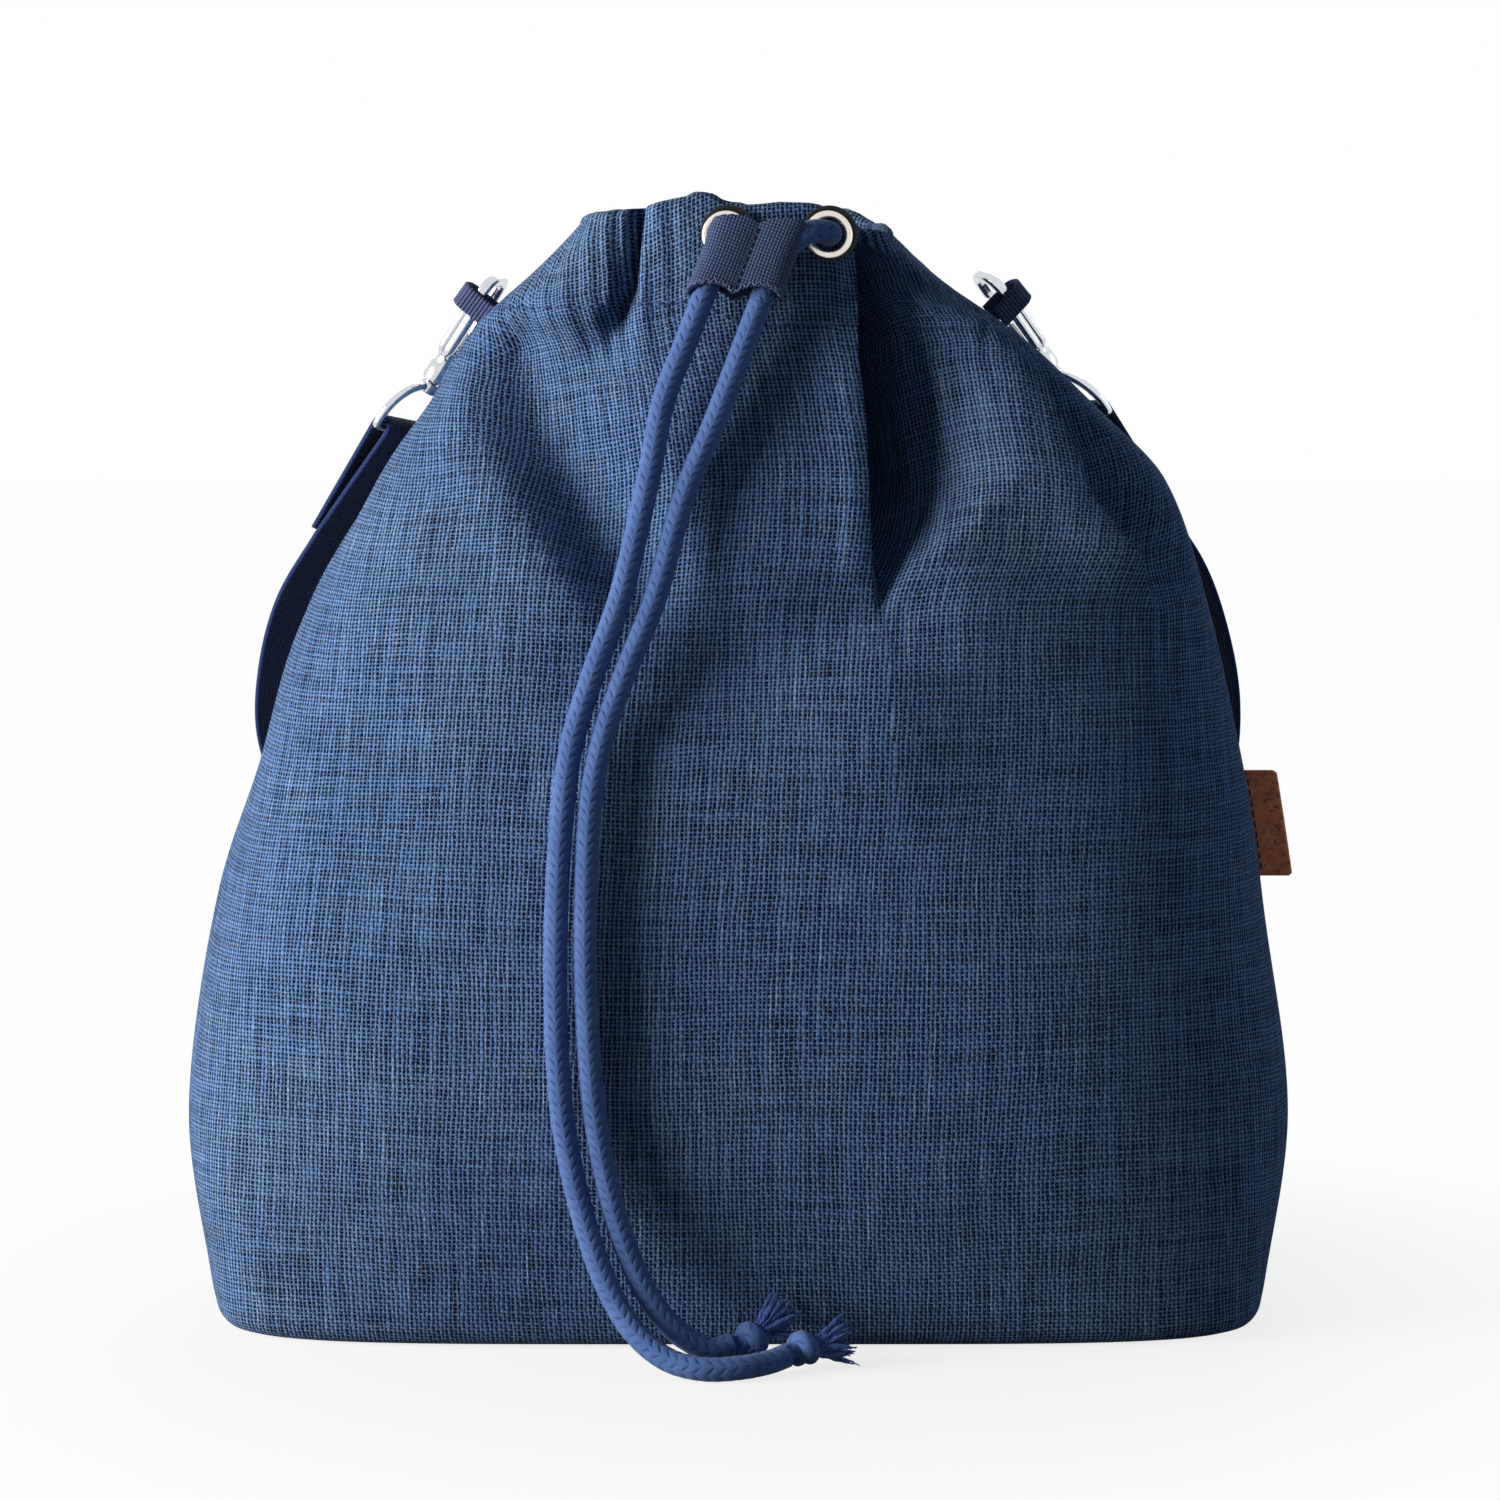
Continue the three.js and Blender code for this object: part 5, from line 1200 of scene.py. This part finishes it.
# drawcord loop: slider, eyelets and the casing inside the hem
loopForm = {
    "sleeve": 19.0, "throat": 8.5, "skew": 0.3, "standOff": 8.5, "bend": 0.55, "before": 3.6, "behind": 4.6,
    "inset": 6.0, "casing": 275.0, "drop": 0.5, "reach": 9, "soft": 17, "ends": (-18, 32), "spacing": 7.0,
    "step": 0.55, "sides": 36,
}


def loopRun(side):
    form = loopForm
    seat, facing = eyeletSeats["left" if side < 0 else "right"]
    clear = form["sleeve"] - form["throat"] + side * form["skew"] * channelHalf
    bend = channelPoint(side, clear + cordDiameter) * form["bend"]
    bend = bend + (seat + facing * form["standOff"]) * (1 - form["bend"])
    return [
        channelPoint(side, -0.1), channelPoint(side, clear / 2), channelPoint(side, clear), bend,
        seat + facing * form["before"], seat, seat - facing * form["behind"],
    ]


def threadCasing():  # the cord lies behind the deepest folds that it passes
    form = loopForm
    sides = []
    for side in ("front", "back"):
        level = np.array([form["casing"]])
        turns, lengths, _ = layColumns(side, level)
        x, y, outX, outY = (row[0] for row in bagSection(turns, level[:, None]))
        folded = wall(side, level)[0][0]
        sunk = (x - folded[:, 0]) * outX + (y - folded[:, 1]) * outY
        deepest = [np.max(sunk[np.abs(lengths[0] - at) < form["reach"]]) for at in lengths[0]]
        inset = softened(np.maximum(deepest, 0) + form["inset"], form["soft"])
        sides.append(np.stack([x - outX * inset, y - outY * inset, folded[:, 2] - form["drop"]], -1))
    front, back = sides
    leftEnd, rightEnd = form["ends"]
    places = [front[front[:, 0] < leftEnd][::-1], back[::-1][1:-1], front[front[:, 0] > rightEnd][::-1]]
    return list(evenly(np.vstack(places), form["spacing"])[0])


route, run = smoothRoute(loopRun(-1) + threadCasing() + loopRun(1)[::-1], loopForm["step"])
mould = Mould()
braid(mould, route, run, cordDiameter, sliderAcross, sides=loopForm["sides"])
mould.piece("drawcord_in_casing", "cord", "bag", "braided_cord", ["drawcord_loop"])
print(f"drawcord loop: {run[-1]:.0f} mm")

# cord slider: a sleeve of webbing, sewn down the middle
sleeveForm = {
    "half": 11.7, "thick": 4.7, "wall": 1.1, "waist": 3.9, "length": 19.4, "back": 10.5, "skew": 0.3, "slack": 0.02,
    "crowd": 0.9, "round": 2.6, "scallop": 2.2, "foot": -0.9, "seamDip": 1.7, "dipFrom": 0.55, "notch": (1.5, 1.2),
    "notchHalf": 2.2, "footWave": (0.12, 4.1), "topWave": (0.1, 3.3), "rows": 44, "columns": 85,
}
sleeveSides = ((-1, sleeveForm["length"]), (1, sleeveForm["back"]))  # front and back of the sleeve


def sleeveLine(inset):  # half of the section, from the left edge to the right
    form = sleeveForm
    t = np.linspace(-1, 1, form["columns"])
    x = np.sign(t) * np.abs(t) ** form["crowd"]
    thick = form["thick"] - inset
    waist = form["waist"] - inset
    valley = waist + (thick - waist) * (1 - (np.clip(0.5 - np.abs(x), 0, 1) / 0.5) ** 2)
    beyond = np.clip(np.abs(x) - 0.5, 0, 0.5) / 0.5
    y = np.where(np.abs(x) < 0.5, valley, thick * arch(beyond, form["round"]))
    return x * (form["half"] - inset), y


def inSlider(x, y, up):
    x, y, up = (np.asarray(v, float)[..., None] for v in (x, y, up))
    return sliderFoot + sliderAcross * x + sliderBack * y + cordUp * up


def sleeveEdges(x, y, long):  # lower and upper edge of the webbing, scalloped over the cords
    form = sleeveForm
    bulge = y / form["thick"]
    atSeam = bump(x, 0, form["notchHalf"])
    (footHigh, footTurn), (topHigh, topTurn) = form["footWave"], form["topWave"]
    low = form["scallop"] * bulge**2 + form["foot"] + footHigh * np.sin(x * footTurn) - form["notch"][0] * atSeam
    high = long + form["seamDip"] * (bulge - form["dipFrom"]) + topHigh * np.sin(x * topTurn)
    return low + form["skew"] * x, high - form["notch"][1] * atSeam + form["skew"] * x


def sewSleeve():
    mould = Mould()
    for sign, long in sleeveSides:
        x, y = sleeveLine(0.0)
        low, high = sleeveEdges(x, y, long)
        share = np.linspace(0, 1, sleeveForm["rows"])[:, None]
        up = low + (high - low) * share
        slack = 1 + sleeveForm["slack"] * np.cos(share * fullTurn)
        outer, inner = (
            inSlider(np.broadcast_to(xs, up.shape) * slack, np.broadcast_to(sign * ys, up.shape), up)
            for xs, ys in ((x, y), sleeveLine(sleeveForm["wall"]))
        )
        around = runAlong(np.stack([x, y], -1))
        flat = np.stack([np.broadcast_to(around - around[-1] / 2, up.shape), up], -1)
        mould.shell(outer, inner, flat)
    mould.piece("slider_sleeve", "slider", "slider", "slider_webbing", ["cord_slider"])


sleeveSeamForm = {
    "proud": 0.1, "first": 0.9, "last": 1.7, "spacing": 1.95, "length": 1.25, "thread": 0.3,
    "edgeSpacing": 0.92, "edgeRise": (0.15, 1.25), "edgeThread": 0.2,
}


def sewSleeveSeams():  # stitches down the middle, and a slanting row along the lower edge
    form = sleeveSeamForm
    middle, edges = Mould(), Mould()
    xs, ys = sleeveLine(0.0)
    for sign, long in sleeveSides:
        low, high = sleeveEdges(0.0, sleeveForm["waist"], long)
        for up in np.arange(low + form["first"], high - form["last"], form["spacing"]):
            ends = [inSlider(0.0, sign * (sleeveForm["waist"] + form["proud"]), u) for u in (up, up + form["length"])]
            stitch(middle, ends[0], ends[1], sliderBack * sign, form["thread"])
        route, _ = evenly(np.stack([xs, ys, np.zeros_like(xs)], -1), form["edgeSpacing"])
        foot, _ = sleeveEdges(route[:, 0], route[:, 1], long)
        for k in range(2, len(route) - 3):
            rise = form["edgeRise"] if k % 2 else form["edgeRise"][::-1]
            ends = [inSlider(route[k + n, 0], sign * route[k + n, 1], foot[k + n] + rise[n]) for n in (0, 1)]
            way = route[k + 1] - route[k - 1]
            out = unit(np.array([-way[1], way[0]]))
            stitch(edges, ends[0], ends[1], sliderAcross * out[0] + sliderBack * out[1] * sign, form["edgeThread"])
    middle.piece("slider_seam", "darkThread", "slider", "slider_webbing")
    edges.piece("slider_edge_stitches", "edgeThread", "slider", "slider_webbing")


sewSleeve()
sewSleeveSeams()
print("slider sewn")

# side tabs, snap hooks and rings; x runs across the hook's eye, y out of its plane and z up the hook
tabForm = {
    "half": 2.8, "fold": 6.2, "width": 6.4, "drop": 1.4, "thick": 1.2, "holeX": -2.8, "holeMiddle": 4.3,
    "height": 262.0, "behind": 8.0, "leg": (-1.6, 5.8), "step": 0.35,
}
hookForm = {
    "eyeX": (-2.8, 8.8), "eyeZ": (-18.8, 5.6), "bend": 4.6, "bar": 1.3, "barSides": 28, "square": 3.2,
    "flat": 0.15, "broad": 0.62, "broadTop": (3.4, 5.4), "broadFoot": (-18.2, -15.6), "gateGap": 0.4, "pivotGap": 0.3,
    "middle": 3.0, "base": (-27.0, -17.6),  # the barrel's profile is radius, and height from its foot or its top
    "barrelTop": ((0.01, 0.4), (3.2, 0.3), (3.5, -0.2), (3.5, -1.2), (2.95, -1.7), (2.85, -3.2), (3.0, -4.2),
                  (3.45, -4.8)),
    "barrelFoot": ((3.5, 0.7), (3.2, 0.15), (2.6, 0), (0.01, 0)),
}
gateForm = {
    "x": 8.8, "pivotZ": -16.3, "top": -3.3, "overlap": 0.85, "bow": 0.12, "radius": 0.9, "oval": 0.68, "samples": 34,
    "pin": ((0.02, -1.75), (0.55, -1.68), (0.7, -1.5), (0.7, 1.5), (0.55, 1.68), (0.02, 1.75)),
}
springForm = {
    "x": (5.9, 1.5), "z": (-16.3, 4.3), "bow": 0.3, "length": 4.6, "width": 1.0, "thick": 0.35, "samples": 18,
    "anchor": (5.4, 0, -14), "keep": 0.1,
}
ringForm = {
    "turn": math.radians(-18), "barZ": -43.15, "half": 11.75, "wire": 1.15, "archZ": -40.5, "legs": 0.4,
    "corner": 2.2,
    "stud": ((0.02, -30.6), (1.2, -30.5), (1.3, -30.2), (1.3, -17.0), (2.2, -16.95), (2.5, -16.6), (2.2, -16.0),
             (1.2, -15.75), (0.02, -15.7)),
    "collar": ((1.6, -30.3), (2.5, -30.3), (2.72, -30.0), (2.72, -28.0), (2.5, -27.45), (1.6, -27.35)),
}
hookFrames = {}
for side in ("left", "right"):
    up = unit(joints[f"swivel_{side}"]["axis"])
    hinge = joints[f"gate_hinge_{side}"]
    outward = unit(hinge["axis"]) * (-1 if side == "left" else 1)
    along = np.cross(outward, up) if side == "left" else np.cross(up, outward)
    origin = np.array(hinge["pos_m"]) / mm - along * gateForm["x"] - up * gateForm["pivotZ"]
    hookFrames[side] = {"origin": origin, "along": along, "outward": outward, "up": up}


def onHook(side, x, y, z):
    own = hookFrames[side]
    x, y, z = (np.asarray(v, float)[..., None] for v in (x, y, z))
    return own["origin"] + own["along"] * x + own["outward"] * y + own["up"] * z


def turnOnHook(mould, side, profile, sides, closed=False):  # turned part on the hook's own upright
    own = hookFrames[side]
    lathe(mould, profile, onHook(side, hookForm["middle"], 0, 0), own["up"], own["along"], sides, closed)


ribbonForm = {"edge": 0.07, "thinnest": 0.02, "beadAt": 0.9, "beadHalf": 0.06}  # shares of half the width


def ribbon(mould, route, run, across, width, thick, samples, bead):  # flat webbing with beaded edges
    form = ribbonForm
    along = unit(np.gradient(route, axis=0))
    across = unit(across - along * np.sum(across * along, 1, keepdims=True))
    facing = np.cross(along, across)
    t = np.linspace(-1, 1, samples)
    half = width / 2
    edge = roundEnd(1 - np.abs(t), form["edge"], form["thinnest"])
    high = thick / 2 * edge * (1 + bead * bump(np.abs(t), form["beadAt"], form["beadHalf"]))
    place = np.concatenate([t * half, t[::-1] * half])
    lift = np.concatenate([high, -high[::-1]])
    points = route[:, None] + across[:, None] * place[None, :, None] + facing[:, None] * lift[None, :, None]
    mould.capEnds(mould.grid(points, flatTube(np.append(place, place[0]), run), wrapAcross=True))
    return across, facing


def foldTab(side):
    own = hookFrames[side]
    form = tabForm
    facing = sideFacing(side, form["behind"], form["height"])
    third = np.cross(own["along"], facing) * (1 if side == "left" else -1)
    turn = np.linspace(0, math.pi, 15)
    leg = np.linspace(*form["leg"], 6)
    xs = np.concatenate([np.full(6, form["half"]), form["half"] * np.cos(turn), np.full(6, -form["half"])])
    ys = np.concatenate([leg, form["fold"] + form["half"] * np.sin(turn), leg[::-1]])
    path = own["origin"] + own["along"] * (form["holeX"] + xs)[:, None] + facing * (ys - form["holeMiddle"])[:, None]
    path = path - third * np.sign(third @ own["up"]) * form["drop"]  # clear of the bend of the hook's eye
    route, run = evenly(path, form["step"])
    mould = Mould()
    ribbon(mould, route, run, np.tile(third, (len(route), 1)), form["width"], form["thick"], 17, 0.12)
    mould.piece(f"tab_loop_{side}", "tab", "bag", "tab_webbing", [f"side_tab_{side}"])


def castHook(side):
    form = hookForm
    (leftX, rightX), (lowZ, highZ) = form["eyeX"], form["eyeZ"]
    corners = [
        (rightX, gateForm["top"] + form["gateGap"]), (rightX, highZ), (leftX, highZ), (leftX, lowZ), (rightX, lowZ),
        (rightX, gateForm["pivotZ"] - form["pivotGap"]),
    ]
    line = rounded(corners, form["bend"], 8)
    line, run = evenly(np.stack([line[:, 0], np.zeros(len(line)), line[:, 1]], -1), 0.45)
    route = onHook(side, line[:, 0], line[:, 1], line[:, 2])
    ends = np.minimum(np.arange(len(route)), np.arange(len(route))[::-1])
    radius = form["bar"] * roundEnd(ends, 4, 0.15)
    broad = smooth(-line[:, 2], *form["broadTop"]) * smooth(line[:, 2], *form["broadFoot"]) * (line[:, 0] < 0)
    turn = ringTurns(form["barSides"])
    power = form["square"]
    square = (np.abs(np.cos(turn)) ** power + np.abs(np.sin(turn)) ** power) ** (-1 / power)  # rounded corners
    reach = radius[:, None] * square * (1 + (form["flat"] + form["broad"] * broad)[:, None] * np.abs(np.cos(turn)))
    mould = Mould()
    tube(mould, route, run, reach, form["barSides"], hookFrames[side]["outward"])
    low, high = form["base"]
    profile = [(r, high + z) for r, z in form["barrelTop"]] + [(r, low + z) for r, z in form["barrelFoot"]]
    turnOnHook(mould, side, profile, 36)
    mould.piece(f"hook_{side}_casting", "chrome", f"hook_{side}", "chrome", [f"hook_body_{side}"])


def fitGate(side):
    form = gateForm
    own = hookFrames[side]
    count = form["samples"]
    zs = np.linspace(form["pivotZ"] - form["overlap"], form["top"], count)
    xs = form["x"] + form["bow"] * np.sin(np.linspace(0, math.pi, count))
    run = zs - zs[0]
    radius = form["radius"] * roundEnd(np.minimum(run, run[-1] - run), 0.8, 0.08)
    mould = Mould()
    tube(mould, onHook(side, xs, np.zeros(count), zs), run, radius, 18, own["along"], oval=form["oval"])
    mould.piece(f"gate_{side}_leaf", "chrome", f"gate_{side}", "chrome", [f"hook_gate_{side}"])
    mould = Mould()
    lathe(mould, form["pin"], onHook(side, form["x"], 0, form["pivotZ"]), own["outward"], own["along"], 24)
    mould.piece(f"gate_rivet_{side}", "steel", f"hook_{side}", "spring_steel", [f"gate_pin_{side}"])


def fitSpring(side):  # leaf spring beside the gate
    form = springForm
    own = hookFrames[side]
    count = form["samples"]
    t = np.linspace(0, 1, count)
    xs = form["x"][0] + form["x"][1] * t**0.7
    zs = form["z"][0] + form["z"][1] * t + form["bow"] * np.sin(math.pi * t)
    route = onHook(side, xs, np.zeros(count), zs)
    mould = Mould()
    outward = np.tile(own["outward"], (count, 1))
    ribbon(mould, route, t * form["length"], outward, form["width"], form["thick"], 9, 0.0)
    spring = mould.piece(f"gate_leaf_spring_{side}", "steel", f"hook_{side}", "spring_steel", [f"gate_spring_{side}"])
    anchor = onHook(side, *form["anchor"]) * mm
    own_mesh(spring)


def fitRing(side):
    form = ringForm
    own = hookFrames[side]
    mould = Mould()
    turnOnHook(mould, side, form["stud"], 28)
    mould.piece(f"stud_{side}", "chrome", "carry_strap", "chrome", [f"swivel_stud_{side}"])
    turns = np.linspace(0, math.pi, 40)
    half, legZ = form["half"], form["archZ"] - form["legs"]
    over = np.stack([half * np.cos(turns), form["archZ"] + half * np.sin(turns)], -1)
    foot = rounded([(-half, legZ), (-half, form["barZ"]), (half, form["barZ"]), (half, legZ)], form["corner"], 6)
    line = np.vstack([over, foot, over[:1]])
    loop, run = evenly(np.stack([line[:, 0], np.zeros(len(line)), line[:, 1]], -1), 0.8)
    loop, run = loop[:-1], run[:-1]
    cos, sin = math.cos(form["turn"]), math.sin(form["turn"])
    route = onHook(side, hookForm["middle"] + loop[:, 0] * cos, loop[:, 0] * sin, loop[:, 2])
    facing = own["outward"] * cos - own["along"] * sin
    mould = Mould()
    tube(mould, route, run, form["wire"], 18, facing, closed=True)
    turnOnHook(mould, side, form["collar"], 32, closed=True)
    mould.piece(f"ring_{side}_wire", "chrome", "carry_strap", "chrome", [f"swivel_ring_{side}"])
    across = own["along"] * cos + own["outward"] * sin
    return {"bar": onHook(side, hookForm["middle"], 0, form["barZ"]), "across": across, "down": -own["up"]}


for side in ("left", "right"):
    foldTab(side)
for side in ("left", "right"):
    castHook(side)
    fitGate(side)
    fitSpring(side)
rings = {side: fitRing(side) for side in ("left", "right")}
print("hooks fitted")

# carry strap, with its bow behind the bag
strapForm = {
    "width": 20.0, "thick": 1.4, "foldBack": 34.0, "plyGap": 0.5, "ringPlay": 0.3, "step": 1.3, "foldStep": 0.78,
    "bow": (
        (-119.5, 35, 184), (-125.5, 42, 165), (-127, 52, 145), (-120, 65, 122), (-104, 76, 104), (-80, 85, 91),
        (-44, 91.5, 83), (0, 93, 81.5), (44, 91.5, 83), (81, 86, 90), (107, 79, 102), (124, 71, 118),
        (131, 62, 136), (131.5, 55, 155), (127.5, 50, 174), (120.5, 47, 192),
    ),
}


def strapFold(side):  # the sewn-back end, round the ring's bar
    form = strapForm
    own = rings[side]
    out = np.cross(own["across"], own["down"]) * (1 if side == "left" else -1)
    beside = 2 * ringForm["wire"] / math.sqrt(2) + form["ringPlay"] + form["thick"] / 2
    ply = (form["thick"] + form["plyGap"]) / 2
    end = own["bar"] + own["down"] * form["foldBack"]
    turn = np.linspace(0, math.pi, 13)
    bend = [own["bar"] - own["down"] * beside * math.sin(a) + out * beside * math.cos(a) for a in turn]
    return np.array([end + out * ply, *bend, end - out * ply])


def sewStrap():
    form = strapForm
    leftFold = strapFold("left")
    rightFold = strapFold("right")[::-1]
    bow, _ = smoothRoute([leftFold[-1], *form["bow"], rightFold[0]], 1.0)
    bow, _ = evenly(bow, form["step"])
    left, right = (evenly(fold, form["foldStep"])[0] for fold in (leftFold, rightFold))
    leftAcross, rightAcross = rings["left"]["across"], rings["right"]["across"]
    share = np.linspace(-1, 1, len(bow))[:, None]
    lean = np.abs(share)
    bowAcross = np.array([0, 1.0, 0]) * (1 - lean) + np.where(share < 0, leftAcross, rightAcross) * lean
    across = np.vstack([
        np.tile(leftAcross, (len(left) - 1, 1)), bowAcross, np.tile(rightAcross, (len(right) - 1, 1)),
    ])
    route = np.vstack([left[:-1], bow, right[1:]])
    for _ in range(2):
        route[1:-1] = 0.25 * route[:-2] + 0.5 * route[1:-1] + 0.25 * route[2:]
    run = runAlong(route)
    mould = Mould()
    wide, facing = ribbon(mould, route, run, across, form["width"], form["thick"], 29, 0.18)
    mould.piece("strap_band", "strap", "carry_strap", "strap_webbing", ["strap_webbing"])
    print(f"strap: {run[-1]:.0f} mm")
    return route, run, wide, facing


boxForm = {"inset": 3.0, "long": 15, "half": 7.2, "proud": 0.02, "length": 1.9, "gap": 0.7, "thread": 0.26}


def boxStitch(route, run, wide, facing):  # square with a cross, through both plies of each sewn end
    form = boxForm
    half, proud = form["half"], strapForm["thick"] / 2 + form["proud"]
    mould = Mould()
    for start in (form["inset"], run[-1] - form["inset"] - form["long"]):
        end = start + form["long"]
        box = [(start, -half), (end, -half), (end, half), (start, half), (start, -half)]
        for face in (1, -1):
            for line in (box, [(start, -half), (end, half)], [(start, half), (end, -half)]):
                path, ups = [], []
                for (s0, w0), (s1, w1) in zip(line[:-1], line[1:]):
                    for t in np.linspace(0, 1, 24):
                        k = int(np.clip(np.searchsorted(run, s0 + (s1 - s0) * t), 0, len(run) - 1))
                        path.append(route[k] + wide[k] * (w0 + (w1 - w0) * t) + facing[k] * proud * face)
                        ups.append(facing[k] * face)
                stitches(mould, path, ups, form["length"], form["gap"], form["thread"])
    mould.piece("strap_stitches", "thread", "carry_strap", "strap_webbing")


boxStitch(*sewStrap())
print("strap sewn")

# cork label folded into the right seam; its outer end is half round
labelForm = {
    "middle": 127.0, "height": 28.0, "reach": 9.6, "thick": 2.0, "sunk": 1.8, "rows": 46, "corner": 0.9, "bow": 0.35,
    "bowReach": 9, "trimFrom": 5, "pinch": 0.25, "pinchHalf": 0.8, "seamX": 1.5, "seamHalf": 12.6, "seamProud": 0.02,
    "stitch": 2.0, "gap": 0.8, "thread": 0.24,
}


def labelAt(z):  # x of the seam, and the label's bow at its outer edge, at a height from its middle
    form = labelForm
    seam = float(sizeAt(form["middle"] + z, "right"))
    return seam, form["bow"] * math.sin((z / form["height"] + 0.5) * math.pi)


def cutLabel():
    form = labelForm
    half = form["thick"] / 2
    straight = np.linspace(0, form["reach"] - half, 12)
    turn = np.linspace(-math.pi / 2, math.pi / 2, 11)[1:-1]
    outer = [(-form["sunk"], -half)] + [(x, -half) for x in straight]
    outer += [(form["reach"] - half + half * math.cos(a), half * math.sin(a)) for a in turn]
    outer += [(x, half) for x in straight[::-1]] + [(-form["sunk"], half)]
    outX, outY = np.array(outer).T
    zs = np.linspace(-form["height"] / 2, form["height"] / 2, form["rows"])
    trim = form["corner"] * (1 - roundEnd(np.minimum(zs - zs[0], zs[-1] - zs), form["corner"]))
    rows = []
    for z, cutIn in zip(zs, trim):
        seam, bow = labelAt(z)
        x = outX - cutIn * np.maximum(outX - form["trimFrom"], 0) / form["trimFrom"]
        squeeze = 1 - form["pinch"] * bump(abs(z), form["height"] / 2, form["pinchHalf"])
        y = outY * squeeze + bow * outX / form["bowReach"]
        rows.append(np.stack([seam + x, y, np.full(len(outer), form["middle"] + z)], -1))
    flat = np.zeros((len(zs) + 1, len(outer) + 1, 2))
    flat[:-1, :-1, 0] = np.arange(len(outer))
    mould = Mould()
    mould.capEnds(mould.grid(np.array(rows), flat, wrapAcross=True))
    mould.piece("cork_label", "cork", "bag", "cork", ["side_label"])


def sewLabel():
    form = labelForm
    mould = Mould()
    for face in (-1, 1):
        line = []
        for z in np.linspace(-form["seamHalf"], form["seamHalf"], 30):
            seam, bow = labelAt(z)
            y = face * (form["thick"] / 2 + form["seamProud"]) + bow * form["seamX"] / form["bowReach"]
            line.append((seam + form["seamX"], y, form["middle"] + z))
        stitches(mould, line, [(0, face, 0)] * len(line), form["stitch"], form["gap"], form["thread"])
    mould.piece("label_stitches", "darkThread", "bag", "cork")


cutLabel()
sewLabel()
print("label cut")

# studio in metres: pale floor, soft light from the left
studio = {
    "floor": 0.9, "floorHalf": 5.0, "grainScale": 40, "ambient": 0.095, "sky": (0.55, 0.75, 1, 1), "bounce": 0.22,
    "glowFrom": (0.08, 0.3), "glow": (0.78, 0.98),  # the floor near the bag keeps more of its shadow
    "lamps": (
        {"name": "key", "at": (-1.52, -0.52, 0.5), "aim": (0, 0, 0.13), "size": 1.15, "watts": 52,
         "tint": (1, 0.96, 0.9)},
        {"name": "front", "at": (0.3, -2.2, 0.9), "aim": (0, 0, 0.12), "size": 1.6, "watts": 0.5, "tint": (1, 1, 1)},
        {"name": "side", "at": (1.7, 0.1, 0.6), "aim": (0, 0, 0.13), "size": 1.2, "watts": 3.6,
         "tint": (0.6, 0.8, 1)},
        {"name": "back", "at": (0.2, 1.9, 1.3), "aim": (0, 0, 0.12), "size": 1.2, "watts": 16, "tint": (1, 1, 1)},
    ),
}
white = (1, 1, 1, 1)


def layFloor():
    paint = Paint("pale_floor", Roughness=0.9, Specular_IOR_Level=0.1)
    where = paint.add("ShaderNodeTexCoord", out="Object")
    far = paint.add("ShaderNodeVectorMath", {"operation": "LENGTH"}, {0: where}, out=1)
    bounced = paint.add("ShaderNodeLightPath", out="Is Diffuse Ray")  # the floor throws little light up at the bag
    grain = paint.noise(where, studio["grainScale"], 2)
    level = (0.985 + 0.03 * grain) * (1 - bounced * (1 - studio["bounce"]))
    paint.set("Base Color", paint.shade((studio["floor"],) * 3 + (1,), level))
    glow = paint.add("ShaderNodeEmission", None, {"Color": white})
    share = paint.seen() * paint.clamp(far, *studio["glowFrom"], *studio["glow"])
    mixed = paint.add("ShaderNodeMixShader", None, {0: share, 1: paint.shader, 2: glow})
    paint.feed(paint.output.inputs["Surface"], mixed)
    mesh = bpy.data.meshes.new("floor")
    half = studio["floorHalf"]
    mesh.from_pydata([(-half, -half, 0), (half, -half, 0), (half, half, 0), (-half, half, 0)], [], [(0, 1, 2, 3)])
    mesh.materials.append(paint.material)
    floor = bpy.data.objects.new("floor", mesh)
    scene.collection.objects.link(floor)


def hangSky():  # white to the camera, and a dim blue light on the bag
    world = bpy.data.worlds.new("studio")
    scene.world = world
    world.use_nodes = True
    sky = Nodes(world.node_tree)
    seen = sky.seen()
    strength = studio["ambient"] + (1 - studio["ambient"]) * seen
    lit = {"Color": sky.tint(seen, studio["sky"], white), "Strength": strength}
    sky.add("ShaderNodeOutputWorld", None, {"Surface": sky.add("ShaderNodeBackground", None, lit)})


layFloor()
hangSky()
for lamp in studio["lamps"]:
    light = bpy.data.lights.new(lamp["name"], "AREA")
    light.shape = "DISK"
    light.size = lamp["size"]
    light.energy = lamp["watts"]
    light.color = lamp["tint"]
    stand(lamp["name"], light, lamp["at"], lamp["aim"])
print("studio lit")
